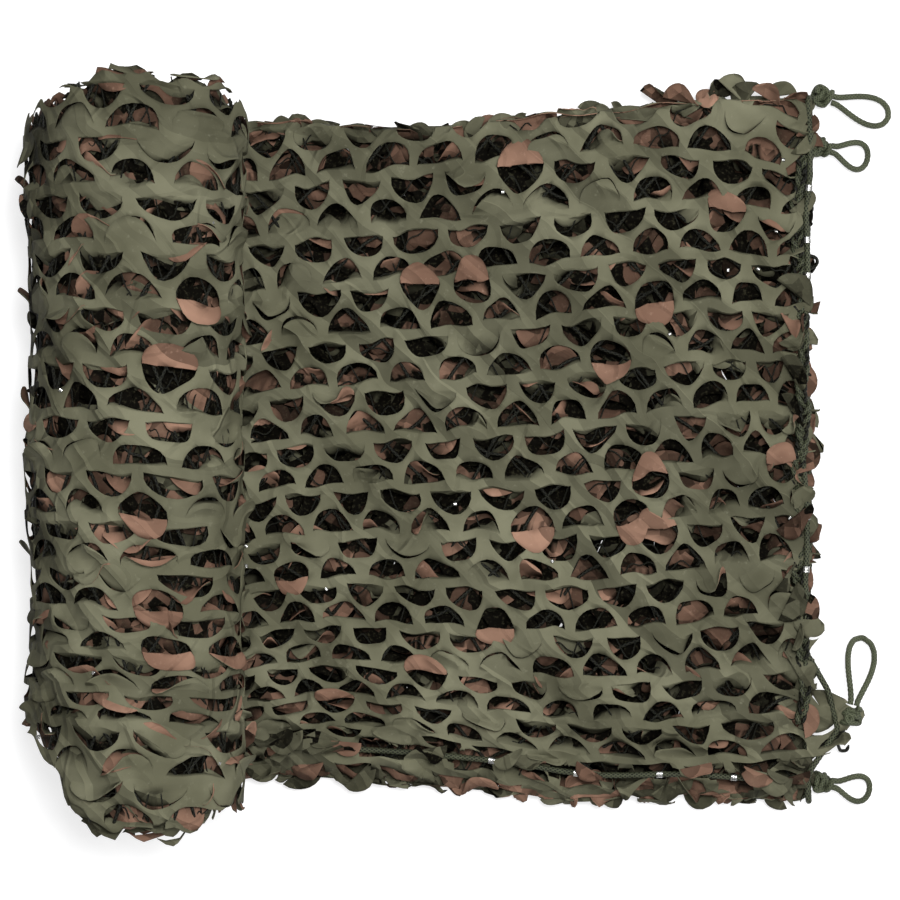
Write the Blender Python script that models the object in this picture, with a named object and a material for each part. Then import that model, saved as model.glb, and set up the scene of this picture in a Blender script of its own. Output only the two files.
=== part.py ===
"""Camouflage net, folded into a long strip and part rolled up.

A square net of leaf-cut garnish cloth is folded back and forth into a strip of
four layers. One end of the strip is wound into a roll, and the rest lies flat
beside it. A rope runs round the edge of the net, crimped on with metal clips,
and a knotted rope loop sits at each corner and fold of the free end.

Metres, +Z up. +X runs along the strip away from the roll, -Y is the side with
the cloth's free edges. The origin ends up at the middle of the underside.
"""

import math

import bpy
import numpy as np
from mathutils import Matrix

# Cloth
SHEET = 0.003               # thickness of the garnish cloth
LAYER_PITCH = 0.013         # from one layer of the flat strip to the next
LAYERS = 4
PER_LAYER = (7, 7, 7, 19)   # points across each layer, bottom to top
LAYER_LUMP = 0.0035         # height of the soft lumps in the upper layers
RIDGE_LUMP = 0.0060         # height of the gathers near the free edge
TOP_EDGE_INSET = 0.038      # how far the top layer's edge lies behind the fold under it

# Flat strip: its start inside the roll, its end, and its outline in plan
RUN_START = -0.302
RUN_END = 0.3485
RUN_OUTLINE = (
    # x, y of the back edge, y of the front edge
    (-0.310, 0.318, -0.316),
    (-0.150, 0.326, -0.320),
    (0.000, 0.322, -0.337),
    (0.110, 0.337, -0.342),
    (0.200, 0.343, -0.343),
    (0.350, 0.354, -0.346),
)
TUCK_FROM, TUCK_TO = -0.262, -0.196     # the layers close up as they go under the roll
TUCK_PITCH = 0.0066
CORNER_PULL = 0.033         # the pulled-out corner of the top layer
CORNER_Y, CORNER_WIDTH = -0.262, 0.036
CORNER_DROOP = 0.12         # how far it sinks for each metre that it reaches out

# Roll: the folded strip is wound as one band
ROLL_X = -0.2925
ROLL_RADIUS = 0.1185        # where the strip enters, at the bottom
ROLL_SINK = 0.0025          # depth of the flat spot under the roll
ROLL_PLY = 0.0262
ROLL_GAP = 0.0030
ROLL_TURNS = 3.1
ROLL_FRONT, ROLL_BACK = -0.366, 0.354
ROLL_LUMP = 0.0030
ROLL_CUT = 0.088            # how far the front end is set back on the outer side

# Leaf cuts: half discs on both sides of each baseline, at 1.45 times the real pitch
CUT_PITCH_X = 0.081
CUT_PITCH_Y = 0.0755
CUT_RADIUS = 0.0245
CUT_STRIP = 0.0030          # half the cloth left along a baseline
CUT_DEPTH = 0.0060          # depth of the cuts in the roll's outer turn
CUT_CORNERS = 5
RUN_TURN = math.radians(5.5)            # the pattern's turn in the flat strip

# Rope, loops, knots and clips
ROPE_RADIUS = 0.0030
CLEAR = 0.0003              # gap between pieces that touch
CLIP_WALL = 0.0012
CLIP_WIDTH = 0.0085
ROPE_OFFSET = ROPE_RADIUS + CLIP_WALL + 3 * CLEAR
ROPE_LOW = ROPE_RADIUS + CLIP_WALL + 2 * CLEAR      # lowest the edge rope's axis may lie
ROPE_START = -0.203
EDGE_POINTS = 17            # path points along each front edge
CLIPS_FRONT = (-0.119, 0.041, 0.126, 0.206, 0.281)  # x, along the top layer's free edge
CLIPS_END = (-0.117, -0.067, 0.171, 0.206, 0.257)   # y, along the top layer's end
KNOT_RADIUS = 0.0118
KNOT_HALF = 0.0132
KNOT_FLAT = 0.0106          # from a knot's middle to where the rope passes it

# Loops: where each knot sits on the edge rope, and where its loop reaches on the floor
LOOPS = (
    # letter, y on the rope, knot height, tip x, tip y, half width
    ("a", 0.3520, 0.0125, 0.4380, 0.3320, 0.0145),
    ("b", 0.3020, 0.0150, 0.4150, 0.2900, 0.0135),
    ("c", -0.2620, 0.0380, 0.4120, -0.1870, 0.0080),
    ("d", -0.3300, 0.0125, 0.4170, -0.3400, 0.0105),
)


def smoothstep(low, high, value):
    t = np.clip((value - low) / (high - low), 0.0, 1.0)
    return t * t * (3.0 - 2.0 * t)


def material(name, colour, roughness, metallic=0.0):
    made = bpy.data.materials.new(name)
    made.use_nodes = True
    shader = made.node_tree.nodes["Principled BSDF"]
    shader.inputs["Base Color"].default_value = (*colour, 1.0)
    shader.inputs["Roughness"].default_value = roughness
    shader.inputs["Metallic"].default_value = metallic
    return made


def mesh_object(name, points, faces, look=None):
    mesh = bpy.data.meshes.new(name)
    mesh.from_pydata([tuple(p) for p in points], [], faces)
    mesh.update()
    made = bpy.data.objects.new(name, mesh)
    bpy.context.scene.collection.objects.link(made)
    if look is not None:
        mesh.materials.append(look)
    return made


def guide(made):
    """A cutter or an added body: used by a Boolean, not a piece itself."""
    made.hide_render = True
    made.display_type = "WIRE"
    return made


def boolean(target, operation, other):
    step = target.modifiers.new(other.name, "BOOLEAN")
    step.operation = operation
    step.solver = "EXACT"
    step.object = other


def shell_faces(rows, columns):
    """Faces of the closed skin between two grids, the outer one first."""
    grid = np.arange(rows * columns).reshape(rows, columns)
    a, b = grid[:-1, :-1].ravel(), grid[1:, :-1].ravel()
    c, d = grid[1:, 1:].ravel(), grid[:-1, 1:].ravel()
    outer = np.column_stack((a, b, c, d))
    inner = np.column_stack((a, d, c, b)) + rows * columns
    rim = np.concatenate((grid[0, :-1], grid[:-1, -1], grid[-1, :0:-1], grid[:0:-1, 0]))
    nxt = np.roll(rim, -1)
    side = np.column_stack((rim, nxt, nxt + rows * columns, rim + rows * columns))
    return [tuple(int(i) for i in face) for face in np.concatenate((outer, inner, side))]


# ---------------------------------------------------------------- flat strip

def outline(x):
    """Back and front edge of the flat strip at x."""
    table = np.array(RUN_OUTLINE)
    back = np.interp(x, table[:, 0], table[:, 1]) + 0.0022 * np.sin(31.0 * x + 0.6)
    front = np.interp(x, table[:, 0], table[:, 2]) + 0.0025 * np.sin(26.0 * x + 2.0)
    return back, front


def run_lump(x, y):
    """Soft lumps over the strip, and three gathers along its front edge."""
    lumps = np.sin(19.0 * x + 6.0 * y) * np.sin(15.0 * y - 7.0 * x + 0.8)
    back, front = outline(x)
    from_front = y - front
    gathers = sum(
        weight * np.exp(-(((from_front - place - 0.010 * np.sin(14.0 * x + phase)) / 0.017) ** 2))
        for place, weight, phase in ((0.062, 0.7, 0.0), (0.112, 1.0, 1.7), (0.165, 0.6, 3.6))
    )
    free = smoothstep(TUCK_TO, TUCK_TO + 0.08, x)
    return free * (LAYER_LUMP * lumps + RIDGE_LUMP * gathers)


def run_pitch(x):
    return TUCK_PITCH + (LAYER_PITCH - TUCK_PITCH) * smoothstep(TUCK_FROM, TUCK_TO, x)


def run_height(x, y, level):
    """Height of a level of the strip: 0 is the bottom layer, LAYERS - 1 the top one."""
    base = SHEET / 2 + level * run_pitch(x)
    return base + level / (LAYERS - 1) * run_lump(x, y)


def end_shift(y, level):
    """How far the strip's end reaches past RUN_END, and how far it sinks there."""
    pull = np.exp(-(((y - CORNER_Y) / CORNER_WIDTH) ** 2) - ((level - 3.0) / 0.45) ** 2)
    reach = 0.0030 * np.sin(17.0 * y + 1.3 * level) * (1.0 - pull) + CORNER_PULL * pull
    return reach, CORNER_DROOP * CORNER_PULL * pull


def folded_path(x, per_layer):
    """Centre line of the folded cloth across the strip: y and level of each point."""
    back, front = outline(x)
    half = run_pitch(x) / 2
    turn = np.linspace(-90.0, 90.0, 5)[1:-1] * math.pi / 180.0
    starts = (front + 0.006, front + half, front + half + 0.002, front + TOP_EDGE_INSET)
    ends = (back - half, back - half, back - half - 0.004, back - half - 0.004)
    places, levels = [], []
    for k in range(LAYERS):
        row = np.linspace(starts[k], ends[k], per_layer[k])
        if k % 2:
            row = row[::-1]
        places.append(row)
        levels.append(np.full(len(row), float(k)))
        if k < LAYERS - 1:
            side = 1.0 if k % 2 == 0 else -1.0
            places.append(row[-1] + side * half * np.cos(turn))
            levels.append(k + 0.5 + 0.5 * np.sin(turn))
    return np.concatenate(places)[::-1], np.concatenate(levels)[::-1]


def run_skin(stations, per_layer):
    """Both faces of the folded cloth as grids of points: stations by places."""
    faces = []
    for side in (-0.5, 0.5):
        rows = []
        for t in stations:
            x = RUN_START + t * (RUN_END - RUN_START)
            y, level = folded_path(x, per_layer)
            z = run_height(x, y, level)
            dy, dz = np.gradient(y), np.gradient(z)
            size = np.hypot(dy, dz)
            off = side * SHEET
            moved_y, moved_z = y + off * dz / size, z - off * dy / size
            reach, sink = end_shift(y, level)
            near_end = smoothstep(0.86, 1.0, t)
            moved_z = moved_z - near_end * sink
            moved_z = np.where(moved_z < 1e-6, 0.0, moved_z)
            if x < TUCK_FROM - 0.012:
                moved_z = np.maximum(moved_z, 0.0007)
            rows.append(np.column_stack((x + near_end * reach, moved_y, moved_z)))
        faces.append(rows)
    return np.array(faces[0]), np.array(faces[1])


def make_run(look):
    stations = (0.0, 0.08, 0.16, 0.27, 0.40, 0.53, 0.66, 0.78, 0.88, 0.95, 1.0)
    outer, inner = run_skin(stations, PER_LAYER)
    rows, columns = outer.shape[:2]
    points = np.concatenate((outer.reshape(-1, 3), inner.reshape(-1, 3)))
    return mesh_object("garnish", points, shell_faces(rows, columns), look)


# ---------------------------------------------------------------------- roll

def roll_radius(turn, y):
    """Outer radius of the wound band; turn counts from the bottom, clockwise."""
    step = ROLL_PLY + ROLL_GAP
    angle = 2.0 * math.pi * turn
    from_bottom = np.abs(turn - np.round(turn))
    fade = smoothstep(0.03, 0.20, from_bottom) * (1.0 - 0.12 * turn)
    lumps = np.sin(2.0 * angle + 9.0 * y) * np.sin(13.0 * y + 0.4) + 0.5 * np.sin(27.0 * y + angle)
    ends = 0.006 * (smoothstep(0.30, 0.36, y) + smoothstep(0.31, 0.37, -y))
    return ROLL_RADIUS - step * turn + fade * (ROLL_LUMP * lumps - ends)


def roll_point(turn, y, drop):
    """A point of the roll, a depth drop below the band's outer face."""
    radius = roll_radius(turn, y) - drop
    angle = 2.0 * math.pi * turn
    x = ROLL_X - radius * np.sin(angle)
    z = ROLL_RADIUS - ROLL_SINK - radius * np.cos(angle)
    return x, y + 0.0 * x, np.maximum(z, 0.0)


def make_roll():
    turns = np.linspace(0.0, ROLL_TURNS, 63)
    across = np.array((0.0, 0.05, 0.20, 0.40, 0.60, 0.80, 0.95, 1.0))
    outward = -np.sin(2.0 * math.pi * turns) * np.clip(1.25 - 0.35 * turns, 0.3, 1.0)
    slant = 0.007 * np.sin(3.3 * turns + 0.5)
    front = ROLL_FRONT + ROLL_CUT * smoothstep(0.30, 1.05, -outward) + 0.014 * smoothstep(0.3, 1.0, outward)
    back = ROLL_BACK - 0.026 * smoothstep(0.35, 1.0, -outward) - 0.010 * smoothstep(0.3, 1.0, outward)
    front, back = front + slant + 0.007, back + slant - 0.007
    y = front[:, None] + across[None, :] * (back - front)[:, None]
    turn = np.repeat(turns[:, None], len(across), axis=1)
    outer = np.stack(roll_point(turn, y, 0.0), axis=-1)
    inner = np.stack(roll_point(turn, y, ROLL_PLY), axis=-1)
    points = np.concatenate((outer.reshape(-1, 3), inner.reshape(-1, 3)))
    return guide(mesh_object("roll_band", points, shell_faces(len(turns), len(across))))


# ----------------------------------------------------------------- leaf cuts

def half_disc(side):
    """Plan of one leaf cut: its straight side lies along the baseline."""
    angle = np.linspace(0.0, math.pi, CUT_CORNERS)
    u = CUT_RADIUS * np.cos(angle)
    v = CUT_STRIP + (CUT_RADIUS - CUT_STRIP) * np.sin(angle)
    return (u, v) if side > 0 else (u[::-1], -v[::-1])


def prism_faces(corners, first):
    low = [first + i for i in range(corners)]
    high = [first + corners + i for i in range(corners)]
    faces = [tuple(reversed(low)), tuple(high)]
    for i in range(corners):
        j = (i + 1) % corners
        faces.append((low[i], low[j], high[j], high[i]))
    return faces


def cut_object(name, lows, highs):
    """One cutter object out of many separate prisms."""
    points, faces = [], []
    for low, high in zip(lows, highs):
        faces += prism_faces(len(low), len(points))
        points += list(low) + list(high)
    return guide(mesh_object(name, points, faces))


def run_cuts():
    lows, highs = [], []
    cos, sin = math.cos(RUN_TURN), math.sin(RUN_TURN)
    for row in range(-5, 6):
        for column in range(-5, 7):
            for side in (1, -1):
                u, v = half_disc(side)
                u = u + CUT_PITCH_X * (column + (0.25 if side > 0 else 0.75))
                v = v + CUT_PITCH_Y * (row + 0.30)
                x, y = 0.085 + cos * u - sin * v, sin * u + cos * v
                back, front = outline(x)
                inside = (x > -0.168) & (x < RUN_END - 0.016)
                inside &= (y < back - 0.020) & (y > front + TOP_EDGE_INSET + 0.010)
                if not inside.all():
                    continue
                low = run_height(x, y, LAYERS - 1.5)
                high = run_height(x, y, LAYERS - 1.0) + 0.012
                lows.append(np.column_stack((x, y, low)))
                highs.append(np.column_stack((x, y, high)))
    return cut_object("run_cuts", lows, highs)


def roll_cuts():
    lows, highs = [], []
    girth = 2.0 * math.pi * (ROLL_RADIUS - 0.5 * (ROLL_PLY + ROLL_GAP))
    for row in range(-5, 6):
        for column in range(1, 9):
            for side in (1, -1):
                u, v = half_disc(side)
                u = u + CUT_PITCH_X * (column + (0.0 if side > 0 else 0.5))
                y = v + CUT_PITCH_Y * (row + 0.15)
                turn = u / girth
                left = smoothstep(0.30, 1.05, np.sin(2.0 * math.pi * turn))
                inside = (turn > 0.17) & (turn < 0.86) & (y < ROLL_BACK - 0.034)
                inside &= y > ROLL_FRONT + 0.026 + (ROLL_CUT + 0.012) * left
                if not inside.all():
                    continue
                lows.append(np.column_stack(roll_point(turn, y, CUT_DEPTH)))
                highs.append(np.column_stack(roll_point(turn, y, -0.012)))
    return cut_object("roll_cuts", lows, highs)


def make_garnish(look):
    """The folded strip joined to the wound band, with the leaf cuts taken out."""
    garnish = make_run(look)
    boolean(garnish, "UNION", make_roll())
    boolean(garnish, "DIFFERENCE", run_cuts())
    boolean(garnish, "DIFFERENCE", roll_cuts())
    return garnish


# ---------------------------------------------------------------------- rope

def end_edge(y, level):
    """Middle of the cloth's edge at the strip's end."""
    reach, sink = end_shift(y, level)
    return np.column_stack((RUN_END + reach, y, run_height(RUN_END, y, level) - sink))


def rope_end_path():
    """Rope round the strip's end, from the top layer's front corner to the bottom's."""
    edge = end_edge(*folded_path(RUN_END, PER_LAYER))
    along = np.gradient(edge, axis=0)
    along /= np.linalg.norm(along, axis=1)[:, None]
    outward = np.array((1.0, 0.0, 0.0)) - along[:, :1] * along
    outward /= np.linalg.norm(outward, axis=1)[:, None]
    path = edge + ROPE_OFFSET * outward
    path[:, 2] = np.maximum(path[:, 2], ROPE_LOW)
    return path


def rope_edge_path(level, start, stop, count):
    """Rope along a free front edge of the cloth."""
    x = np.linspace(start, stop, count)
    y = outline(x)[1] + (TOP_EDGE_INSET if level else 0.006) - ROPE_OFFSET
    z = np.maximum(run_height(x, y, level), ROPE_LOW)
    return np.column_stack((x, y, z))


def edge_rope_path():
    """The whole edge rope: top front edge, round the end, bottom front edge."""
    end = rope_end_path()
    top = rope_edge_path(LAYERS - 1, ROPE_START, RUN_END - 0.001, EDGE_POINTS)
    low = rope_edge_path(0, RUN_END - 0.001, ROPE_START, EDGE_POINTS)
    corner = ROPE_OFFSET * 0.70
    first = np.array((top[-1, 0] + corner, top[-1, 1] + 0.3 * corner, top[-1, 2]))
    last = np.array((low[0, 0] + corner, low[0, 1] + 0.3 * corner, low[0, 2]))
    return np.concatenate((top, [first], end, [last], low))


def tube(name, path, radius, look, sides=2):
    curve = bpy.data.curves.new(name, "CURVE")
    curve.dimensions = "3D"
    curve.bevel_depth = radius
    curve.bevel_resolution = sides
    curve.use_fill_caps = True
    spline = curve.splines.new("POLY")
    spline.points.add(len(path) - 1)
    for point, place in zip(spline.points, path):
        point.co = (*place, 1.0)
    curve.materials.append(look)
    made = bpy.data.objects.new(name, curve)
    bpy.context.scene.collection.objects.link(made)
    return made


def clip(name, centre, along, look):
    """A crimp clip: a short metal sleeve round the rope."""
    along = along / np.linalg.norm(along)
    side = np.cross(along, (0.0, 0.0, 1.0))
    side /= np.linalg.norm(side)
    up = np.cross(side, along)
    count = 8
    angle = 2.0 * math.pi * np.arange(count) / count
    ring = np.cos(angle)[:, None] * side + np.sin(angle)[:, None] * up
    bore = (ROPE_RADIUS + CLEAR) / math.cos(math.pi / count)
    section = ((bore, -0.5), (bore + CLIP_WALL, -0.5), (bore + CLIP_WALL, 0.5), (bore, 0.5))
    points = np.concatenate([
        centre + radius * ring + place * CLIP_WIDTH * along for radius, place in section
    ])
    faces = []
    for part in range(4):
        nxt = (part + 1) % 4
        for i in range(count):
            j = (i + 1) % count
            faces.append((part * count + j, part * count + i, nxt * count + i, nxt * count + j))
    return mesh_object(name, points, faces, look)


def make_clips(look):
    """Clips at named places along the edge rope's visible stretches."""
    path = edge_rope_path()
    front = path[:EDGE_POINTS]
    end = path[EDGE_POINTS + 1:EDGE_POINTS + 1 + PER_LAYER[-1]]
    number = 0
    for stretch, axis, places in ((front, 0, CLIPS_FRONT), (end, 1, CLIPS_END)):
        for place in places:
            k = int(np.searchsorted(stretch[:, axis], place))
            along = stretch[k] - stretch[k - 1]
            t = (place - stretch[k - 1, axis]) / along[axis]
            number += 1
            clip(f"clip_{number:02d}", stretch[k - 1] + t * along, along, look)


# ------------------------------------------------------------ loops and knots

def knot(name, centre, outward, flats, look):
    """A tied knot: a lump with slanting ridges, flat where a rope passes or leaves."""
    side = np.cross((0.0, 0.0, 1.0), outward)
    up = np.cross(outward, side)
    rings, count = 7, 14
    tilt = np.linspace(0.0, math.pi, rings + 2)[1:-1]
    around = 2.0 * math.pi * np.arange(count) / count
    tilt, around = np.meshgrid(tilt, around, indexing="ij")
    ridge = 1.0 + 0.10 * np.cos(3.0 * around + 5.0 * tilt) * np.sin(tilt)
    along = KNOT_HALF * np.cos(tilt)
    across = KNOT_RADIUS * np.sin(tilt) * ridge
    points = (
        along[..., None] * outward
        + (across * np.cos(around))[..., None] * side
        + (0.9 * across * np.sin(around))[..., None] * up
    ).reshape(-1, 3)
    points = np.concatenate((points, [KNOT_HALF * outward, -KNOT_HALF * outward]))
    for flat in flats:
        reach = points @ flat
        points = points * np.where(reach > KNOT_FLAT, KNOT_FLAT / np.maximum(reach, 1e-9), 1.0)[:, None]
    faces = []
    for i in range(rings - 1):
        for j in range(count):
            k = (j + 1) % count
            faces.append((i * count + j, (i + 1) * count + j, (i + 1) * count + k, i * count + k))
    head, tail = rings * count, rings * count + 1
    for j in range(count):
        k = (j + 1) % count
        faces.append((head, j, k))
        faces.append((tail, (rings - 1) * count + k, (rings - 1) * count + j))
    return mesh_object(name, centre + points, faces, look)


def loop_path(root, outward, tip, half_width, count=17):
    """A rope loop: it leaves the root along outward, goes round the tip and comes back."""
    straight = 0.005
    start = root + straight * outward
    bend = start + 0.45 * np.linalg.norm(tip - start) * outward
    angle = np.linspace(-math.pi, math.pi, 241)
    t = (0.5 + 0.5 * np.cos(angle))[:, None]
    spine = (1 - t) ** 2 * start + 2 * t * (1 - t) * bend + t**2 * tip
    heading = 2 * (1 - t) * (bend - start) + 2 * t * (tip - bend)
    sideways = np.column_stack((-heading[:, 1], heading[:, 0]))
    sideways /= np.linalg.norm(sideways, axis=1)[:, None]
    sign = np.where(angle < 0.0, -1.0, 1.0)
    strand = (ROPE_RADIUS + CLEAR) * (1.0 - t[:, 0]) ** 0.5 * sign
    across = 1.3 * half_width * np.sin(angle) * np.cos(angle / 2.0) ** 0.8 + strand
    curve = spine.copy()
    curve[:, :2] += across[:, None] * sideways
    curve = np.concatenate((
        [curve[0] - straight * outward], curve, [curve[-1] - straight * outward]
    ))
    length = np.concatenate(([0.0], np.cumsum(np.linalg.norm(np.diff(curve, axis=0), axis=1))))
    ends = np.linspace(straight, length[-1] - straight, count - 2)
    places = np.concatenate(([0.0], ends, [length[-1]]))
    return np.column_stack([np.interp(places, length, curve[:, i]) for i in range(3)])


def rope_outer_side(y, z):
    """How far the rope reaches along X where a knot at y and z would touch it."""
    path = rope_end_path()
    steps = np.linspace(0.0, 1.0, 12)[:, None, None]
    fine = (path[:-1] + steps * (path[1:] - path[:-1])).reshape(-1, 3)
    near = (np.abs(fine[:, 1] - y) < 0.0075) & (np.abs(fine[:, 2] - z) < 0.0085)
    return fine[near, 0].max() + ROPE_RADIUS


def make_loops(rope_look):
    rope_side = np.array((-1.0, 0.0, 0.0))
    for letter, y, height, tip_x, tip_y, half_width in LOOPS:
        x = rope_outer_side(y, height) + CLEAR + KNOT_FLAT
        centre = np.array((x, y, height))
        tip = np.array((tip_x, tip_y, ROPE_RADIUS + 0.0004))
        outward = np.array((tip_x - x, tip_y - y, 0.0))
        outward /= np.linalg.norm(outward)
        knot(f"knot_{letter}", centre, outward, (rope_side, outward), rope_look)
        root = centre + (KNOT_FLAT + CLEAR) * outward
        path = loop_path(root, outward, tip, half_width)
        tube(f"loop_{letter}", path, ROPE_RADIUS, rope_look)


# -------------------------------------------------------------------- origin

def centre_on_underside(cord_names):
    """Moves everything so that the origin is the middle of the underside."""
    bpy.context.view_layer.update()
    graph = bpy.context.evaluated_depsgraph_get()
    low, high = np.full(3, np.inf), np.full(3, -np.inf)
    for made in bpy.data.objects:
        if made.hide_render or made.name.startswith(cord_names):
            continue
        mesh = made.evaluated_get(graph).to_mesh()
        points = np.empty(len(mesh.vertices) * 3, dtype=np.float32)
        mesh.vertices.foreach_get("co", points)
        points = points.reshape(-1, 3)
        low, high = np.minimum(low, points.min(axis=0)), np.maximum(high, points.max(axis=0))
    shift = Matrix.Translation((-(low[0] + high[0]) / 2, -(low[1] + high[1]) / 2, 0.0))
    for data in {made.data for made in bpy.data.objects}:
        data.transform(shift)


def main():
    for old in list(bpy.data.objects):
        bpy.data.objects.remove(old, do_unlink=True)
    cloth = material("garnish_cloth", (0.181, 0.189, 0.122), 0.9)
    rope = material("edge_rope_green", (0.045, 0.060, 0.030), 0.85)
    metal = material("clip_metal", (0.72, 0.72, 0.70), 0.3, 1.0)
    make_garnish(cloth)
    tube("edge_rope", edge_rope_path(), ROPE_RADIUS, rope)
    make_clips(metal)
    make_loops(rope)
    centre_on_underside(("loop_", "knot_"))


main()
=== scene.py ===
import math
from functools import partial

import bmesh
import bpy
import numpy as np
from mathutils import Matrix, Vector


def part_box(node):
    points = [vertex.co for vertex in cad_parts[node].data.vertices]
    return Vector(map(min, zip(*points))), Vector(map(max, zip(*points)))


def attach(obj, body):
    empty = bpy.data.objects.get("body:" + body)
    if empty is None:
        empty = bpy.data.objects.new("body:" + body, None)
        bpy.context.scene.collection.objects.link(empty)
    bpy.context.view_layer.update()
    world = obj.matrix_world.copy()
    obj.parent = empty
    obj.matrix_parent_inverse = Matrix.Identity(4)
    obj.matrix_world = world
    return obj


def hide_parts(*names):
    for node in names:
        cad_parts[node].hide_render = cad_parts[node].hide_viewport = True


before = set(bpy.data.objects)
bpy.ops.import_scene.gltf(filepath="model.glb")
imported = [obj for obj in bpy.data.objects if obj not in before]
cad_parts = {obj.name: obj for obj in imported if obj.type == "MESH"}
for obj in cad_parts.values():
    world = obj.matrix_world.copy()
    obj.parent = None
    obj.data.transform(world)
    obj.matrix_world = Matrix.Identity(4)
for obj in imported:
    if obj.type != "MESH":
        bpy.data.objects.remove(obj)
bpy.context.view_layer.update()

print("frame loaded:", len(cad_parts), "nodes")

# Metres throughout. The net has its own plan, with zero under the camera, x to the
# free end and the cloth's free edges on the -y side; origin puts it in the frame.
strip = dict(
    origin=(0.00963, 0.005536, 0.0),    # read off the built solids
    start=-0.27, end=0.3485,
    pitch=0.013, tuckPitch=0.0066, tuckFrom=-0.262, tuckTo=-0.196,
    lump=0.0035, ridge=0.0060, topInset=0.038, lowInset=0.006, sheet=0.003, floorGap=0.0004,
    outline=((-0.310, 0.318, -0.316), (-0.150, 0.326, -0.320), (0.000, 0.322, -0.337),
             (0.110, 0.337, -0.342), (0.200, 0.343, -0.343), (0.350, 0.354, -0.346)),
    # gathers: distance from the front edge, weight and phase
    gathers=((0.062, 0.7, 0.0), (0.112, 1.0, 1.7), (0.165, 0.6, 3.6)),
    cornerPull=0.033, cornerY=-0.262, cornerWidth=0.036, cornerDroop=0.12,
    # cornerNarrow and notch belong to the cut end of the top layer
    cornerNarrow=0.020, cornerTip=0.014, notch=((0.150, 0.172), (0.292, 0.270)), notchDepth=0.017,
)
origin = np.array(strip["origin"])


def linked(name, data):
    # a new object on the scene
    made = bpy.data.objects.new(name, data)
    bpy.context.scene.collection.objects.link(made)
    return made


# camera, floor and light

view = dict(height=2.6, width=0.90, sensor=36.0, floorSize=8.0, floorTop=-0.0004)
cameraData = bpy.data.cameras.new("camera")
cameraData.sensor_width = view["sensor"]
cameraData.lens = view["sensor"] * view["height"] / view["width"]
camera = linked("camera", cameraData)
camera.location = (origin[0], origin[1], view["height"])
bpy.context.scene.camera = camera

floorLook = {
    "Base Color": (0.54, 0.54, 0.545, 1.0), "Roughness": 0.9,
    "Emission Color": (1.0, 1.0, 1.0, 1.0), "Emission Strength": 0.63,
}
bpy.ops.mesh.primitive_plane_add(size=view["floorSize"], location=(0.0, 0.0, view["floorTop"]))
floor = bpy.context.object
floor.name = "floor"
white = bpy.data.materials.new("floorWhite")
white.use_nodes = True
for key, value in floorLook.items():
    white.node_tree.nodes["Principled BSDF"].inputs[key].default_value = value
floor.data.materials.append(white)

lights = dict(
    key=dict(place=(0.30, 0.42, 2.7), size=0.7, power=66.0),
    side=dict(place=(1.5, 0.3, 1.8), size=1.4, power=17.0),
    front=dict(place=(-0.1, -1.6, 2.2), size=1.8, power=6.0),
)
worldLight = 0.335
for name, light in lights.items():
    lampData = bpy.data.lights.new(name, "AREA")
    lampData.size = light["size"]
    lampData.energy = light["power"]
    lamp = linked(name, lampData)
    lamp.location = light["place"]
    lamp.rotation_mode = "QUATERNION"
    lamp.rotation_quaternion = (-lamp.location.normalized()).to_track_quat("-Z", "Y")

world = bpy.data.worlds.new("studio")
world.use_nodes = True
world.node_tree.nodes["Background"].inputs["Color"].default_value = (1.0, 1.0, 1.0, 1.0)
world.node_tree.nodes["Background"].inputs["Strength"].default_value = worldLight
bpy.context.scene.world = world
bpy.context.scene.view_settings.view_transform = "Standard"
print("camera, floor and lights set")


# small helpers

def smoothstep(low, high, value):
    # zero before low, one past high, an even bend between them
    t = np.clip((value - low) / (high - low), 0.0, 1.0)
    return t * t * (3.0 - 2.0 * t)


def waves(x, y, table):
    # sum of plane sine waves: each row is height, waves per metre in x and y, phase
    return sum(h * np.sin(a * x + b * y + c) for h, a, b, c in table)


def unit(vectors):
    # the same directions, one long
    return vectors / np.linalg.norm(vectors, axis=-1, keepdims=True)


def runAlong(path):
    # the distance run at each point of a path
    return np.concatenate(([0.0], np.cumsum(np.linalg.norm(np.diff(path, axis=0), axis=1))))


def threeColumns(at, known, table):
    # the three columns of a table, read off at other places
    return np.column_stack([np.interp(at, known, table[:, axis]) for axis in range(3)])


def roundTurn(sides):
    # the cosine and sine of equal steps once round, ready to scale two arrays of directions
    turn = 2.0 * math.pi * np.arange(sides) / sides
    return turn, np.cos(turn)[None, :, None], np.sin(turn)[None, :, None]


def meshPiece(name, points, faces, looks, shade=None):
    # one mesh piece from a list of points and a list of faces; shade is a value for each point
    mesh = bpy.data.meshes.new(name)
    mesh.from_pydata((points + origin).tolist(), [], faces)
    if shade is not None:
        layer = mesh.attributes.new("shade", "FLOAT", "POINT")
        layer.data.foreach_set("value", shade.astype(np.float32))
    for look in looks:
        mesh.materials.append(look)
    mesh.shade_smooth()
    piece = linked(name, mesh)
    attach(piece, "root")
    return piece


def reworked(piece, change):
    # runs one change on the piece's mesh as a bmesh
    shape = bmesh.new()
    shape.from_mesh(piece.data)
    change(shape)
    shape.to_mesh(piece.data)
    shape.free()


# shader helper

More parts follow.
